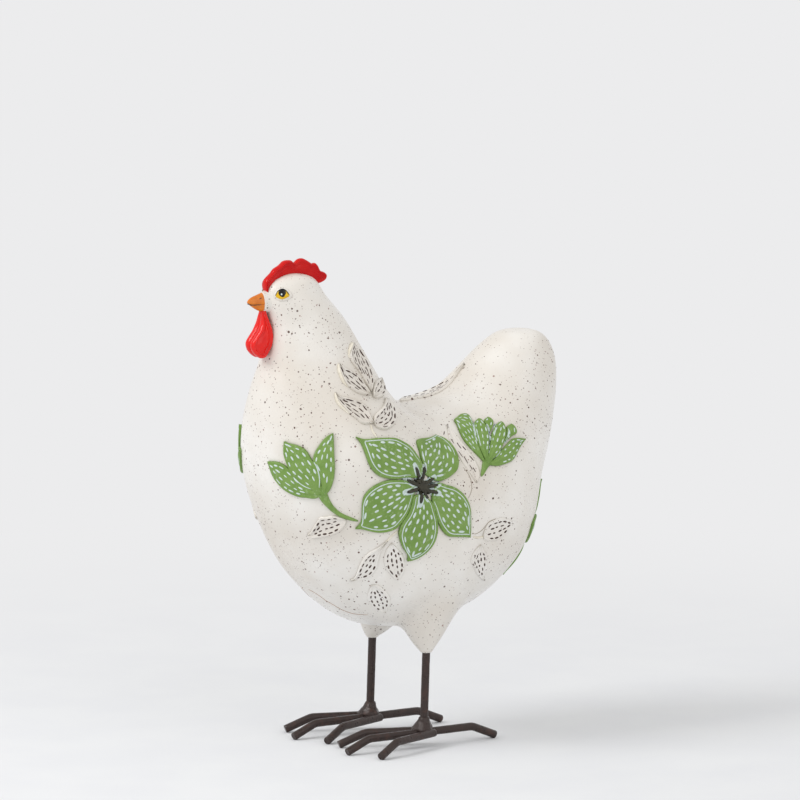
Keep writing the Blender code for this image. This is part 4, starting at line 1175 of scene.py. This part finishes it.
whites, browns, creams, darks, halos, greys, ochres = (Shape() for _ in range(7))
for turn in (near, far):
    for name, (_, left, right) in FLOWER.items():
        whites.join(dashes(top, turn(left), turn(right), *FLOWER_DASHES))
        whites.join(inset(top, turn(left), turn(right), 0.16 if name != "back" else 0.55))
    for _, left, right in BUD.values():
        whites.join(dashes(top, turn(left, FAR_BUD_TURN), turn(right, FAR_BUD_TURN), *BUD_DASHES))
    for _, left, right in FAN.values():
        whites.join(dashes(top, turn(left), turn(right), *FAN_DASHES))
    for name, (_, left, right) in LEAVES.items():
        if name != "fan_side":
            kind = NECK_DASHES if name.startswith("neck") else LEAF_DASHES
            browns.join(dashes(top, turn(left), turn(right), *kind))
    for path in FAN_HATCH:
        browns.join(stroke(top, turn(path), half_width=0.30, ends=0.3, count=7))
    for path in GREY_LINES:
        greys.join(stroke(top, turn(path), half_width=0.28, ends=0.4))
    ochres.join(stroke(top, turn(BELLY_LINE), half_width=0.30, ends=0.3))
    for name in ("neck_top", "neck_middle", "neck_low"):
        rim = spline(turn(LEAVES[name][1]), 30)[16:]
        creams.join(stalk(rim, widths=(0.3, 0.62, 0.72, 0.5), heights=(0.5, 1.25, 1.45, 1.2)))
    for path in CREAM_STEMS:
        creams.join(stalk(turn(path), widths=(0.55, 0.55), heights=(0.5, 0.5)))
    base, core = turn(FLOWER_MIDDLE), turn(CORE)
    for tip in turn(FINGERS):
        path = [base, (base + tip) / 2, tip + (tip - base) * 0.28]
        halos.join(stroke(top, path, half_width=2.1, ends=0.35, thick=0.5, count=17))
    under = Top([body, greens, halos])
    for tip in turn(FINGERS):
        start, end = base + (tip - base) * 0.1, base + (tip - base) * 1.04
        darks.join(capsule(under, start, end, half_width=0.94, lift=0.25, high=0.75, count=15, ridged=True))
    middle = core.mean(0)
    darks.join(blob(middle + (core - middle) * 0.62, height=1.45, crown=0.5, count=36))
    for k in range(14):
        spot = base + (core[k % 8] - base) * rng.uniform(0.1, 0.5)
        tip = spot + (core[k % 8] - base) * rng.uniform(0.25, 0.5)
        darks.join(capsule(under, spot, tip, rng.uniform(0.45, 0.7), lift=0.6, high=1.5, count=7))
    for path in BUD_LINES:
        whites.join(stroke(top, turn(path, FAR_BUD_TURN), half_width=0.33, ends=0.4))
    for path in FAN_GAPS:
        halos.join(stroke(top, turn(path), half_width=0.85, ends=0.4, thick=0.6, count=11))
    for path in FAN_LINES:
        whites.join(stroke(top, turn(path), half_width=0.27, ends=0.4))
for left, right in REAR:
    whites.join(dashes(top, left, right, *REAR_DASHES))
    whites.join(inset(top, left, right, 0.12))
browns.join(dashes(top, *SADDLE_LEAF[1:], *SADDLE_DASHES))

put("body", body, GLAZE)
put("thigh_left", thighs[0], GLAZE)
put("thigh_right", thighs[1], GLAZE)
put("petals", greens, GREEN)
put("leaves", leaves, GLAZE)
put("strokes_white", whites, WHITE)
put("strokes_brown", browns, BROWN)
put("strokes_grey", greys, GREY)
put("belly_line", ochres, OCHRE)
put("stalks", creams, CREAM)
put("stamen_halo", halos, HAZE)
put("stamens", darks, DARK)
put("droplets", droplets(top, DROPLETS, DROPLET_SIZES), SPOT)
for turn, word in ((near, "left"), (far, "right")):
    for layer, (shape, paint) in eye_parts(turn).items():
        put(f"eye_{layer}_{word}", shape, paint)
put("comb", inflated(COMB_EDGE, COMB_MIDDLE, 2.3, rim=0.20, notches=COMB_NOTCHES), RED)
for side, word in ((1, "left"), (-1, "right")):
    wattle = inflated(WATTLE_EDGE, WATTLE_MIDDLE, 2.1, rim=0.55, dish=-0.30, bead=1.25)
    put(f"wattle_{word}", hung(wattle, side), WATTLE_RED)
put("beak_upper", mandible(UPPER_BEAK), ORANGE)
put("beak_lower", mandible(LOWER_BEAK), ORANGE)
mouth = [(left - 0.10, -forward, 228.62) for forward, left in MOUTH]
mouth += [(0.0, -88.05, 229.25)] + [(-x, y, z) for x, y, z in mouth[::-1]]
collar = [[(wide * math.cos(math.radians(10 * k)), -forward, middle + high * math.sin(math.radians(10 * k)))
           for k in range(36)] for forward, middle, high, wide in COLLAR]
put("beak_collar", tube(spline_rings(collar, 24)), GLAZE)
# Brown lines at the mouth and the nostrils: brown paint, and painted shade of the groove where the beak's halves
# meet and of the nostrils.
paint_and_groove_shade = rod(spline(mouth, 60), radius=0.20, sides=10, wobble=0.08, cut=False)
for side in (1, -1):
    paint_and_groove_shade.join(rod([(side * left, back, height) for left, back, height in NOSTRIL], radius=0.22, sides=12))
put("beak_lines", paint_and_groove_shade, BROWN)

for side, word in ((1, "left"), (-1, "right")):
    for name, points in leg_paths(side).items():
        path = densified(points, 1.0) if len(points) == 2 else rounded_path(points, TOE_BEND)
        shape = rod(path, ROD / 2)
        for point in shape.points:
            point[2] = max(point[2], 0.0)
        put(f"{word}_{name}", shape, WIRE, f"{word}_{name}")
    put(f"{word}_weld", weld_bead(side), WIRE, f"{word}_weld")


def seen_rays(tree):
    """1 for rays that the camera, a gloss or a clear body sees by, and 0 for those that only carry light."""
    path = tree.nodes.new("ShaderNodeLightPath")
    seen = path.outputs["Is Camera Ray"]
    for name in ("Is Glossy Ray", "Is Transmission Ray"):
        pick = tree.nodes.new("ShaderNodeMath")
        pick.operation = "MAXIMUM"
        tree.links.new(seen, pick.inputs[0])
        tree.links.new(path.outputs[name], pick.inputs[1])
        seen = pick.outputs[0]
    return seen


def floor():
    """Wide pale floor that keeps the hen's soft shadow and melts into the backdrop."""
    mesh = bpy.data.meshes.new("floor")
    reach = 6.0
    corners = [(-reach, -reach, 0), (reach, -reach, 0), (reach, reach, 0), (-reach, reach, 0)]
    mesh.from_pydata(corners, [], [(0, 1, 2, 3)])
    item = bpy.data.objects.new("floor", mesh)
    bpy.context.scene.collection.objects.link(item)
    nodes = Nodes("floor_paper", 0.9, gleam=0.1)
    nodes.finish(nodes.mix(nodes.ramp(nodes.noise(60.0, 4.0), 0.3, 0.7), *map(linear, PAPER)))
    spot = nodes.add("ShaderNodeSeparateXYZ")
    nodes.feed(spot.inputs[0], nodes.place)
    across, along = (nodes.math("POWER", spot.outputs[k], 2.0) for k in (0, 1))
    fade = nodes.ramp(nodes.math("SQRT", nodes.math("ADD", across, along)), FADE_START, FADE_END)
    glow = nodes.add("ShaderNodeEmission")
    glow.inputs["Color"].default_value = linear(PALE)
    blend = nodes.add("ShaderNodeMixShader")
    nodes.feed(blend.inputs[0], nodes.math("MULTIPLY", fade, seen_rays(nodes.tree)))
    nodes.feed(blend.inputs[1], nodes.shader.outputs[0])
    nodes.feed(blend.inputs[2], glow.outputs[0])
    output = nodes.tree.nodes["Material Output"]
    nodes.feed(output.inputs["Surface"], blend.outputs[0])
    mesh.materials.append(nodes.material)


def soft_lamp(name, direction, size, watts):
    """Square soft box aimed at the hen's middle."""
    lamp = bpy.data.lights.new(name, "AREA")
    lamp.size = size
    lamp.energy = watts
    item = bpy.data.objects.new(name, lamp)
    bpy.context.scene.collection.objects.link(item)
    away = Vector(direction).normalized()
    item.location = Vector((0, 0, 0.13)) + away * LAMP_DISTANCE
    item.rotation_euler = away.to_track_quat("Z", "Y").to_euler()


def backdrop():
    """Pale to the eye and in reflections, a quieter fill for everything else."""
    world = bpy.data.worlds.new("backdrop")
    bpy.context.scene.world = world
    world.use_nodes = True
    tree = world.node_tree
    base = tree.nodes["Background"]
    base.inputs["Color"].default_value = FILL_LIGHT
    base.inputs["Strength"].default_value = FILL_STRENGTH
    pale = tree.nodes.new("ShaderNodeBackground")
    pale.inputs["Color"].default_value = linear(PALE)
    blend = tree.nodes.new("ShaderNodeMixShader")
    tree.links.new(seen_rays(tree), blend.inputs[0])
    tree.links.new(base.outputs[0], blend.inputs[1])
    tree.links.new(pale.outputs[0], blend.inputs[2])
    tree.links.new(blend.outputs[0], tree.nodes["World Output"].inputs["Surface"])


def camera():
    """The photo's view, from so far that it is nearly parallel; returns its right and towards the camera."""
    turn, tilt = math.radians(VIEW_TURN), math.radians(VIEW_TILT)
    away = Vector((math.sin(turn) * math.cos(tilt), -math.cos(turn) * math.cos(tilt), math.sin(tilt)))
    right = Vector((math.cos(turn), math.sin(turn), 0.0))
    up = Vector((-math.sin(turn) * math.sin(tilt), math.cos(turn) * math.sin(tilt), math.cos(tilt)))
    data = bpy.data.cameras.new("camera")
    data.lens = LENS_PER_METRE * VIEW_DISTANCE
    data.sensor_width = 36.0
    data.clip_end = 100.0
    item = bpy.data.objects.new("camera", data)
    bpy.context.scene.collection.objects.link(item)
    aim = Vector((0.0, SHIFT / 1000, 0.0)) + right * AIM_RIGHT + up * AIM_UP
    item.location = aim + away * VIEW_DISTANCE
    item.rotation_euler = away.to_track_quat("Z", "Y").to_euler()
    bpy.context.scene.camera = item
    return right, away


floor()
backdrop()
RIGHT, AWAY = camera()
soft_lamp("key", AWAY * 0.38 - RIGHT * 0.9 + Vector((0, 0, 0.80)), KEY_SIZE, KEY_WATTS)
soft_lamp("fill", AWAY * 0.8 + RIGHT * 0.5 + Vector((0, 0, 0.35)), FILL_SIZE, FILL_WATTS)
bpy.context.scene.view_settings.view_transform = "Standard"
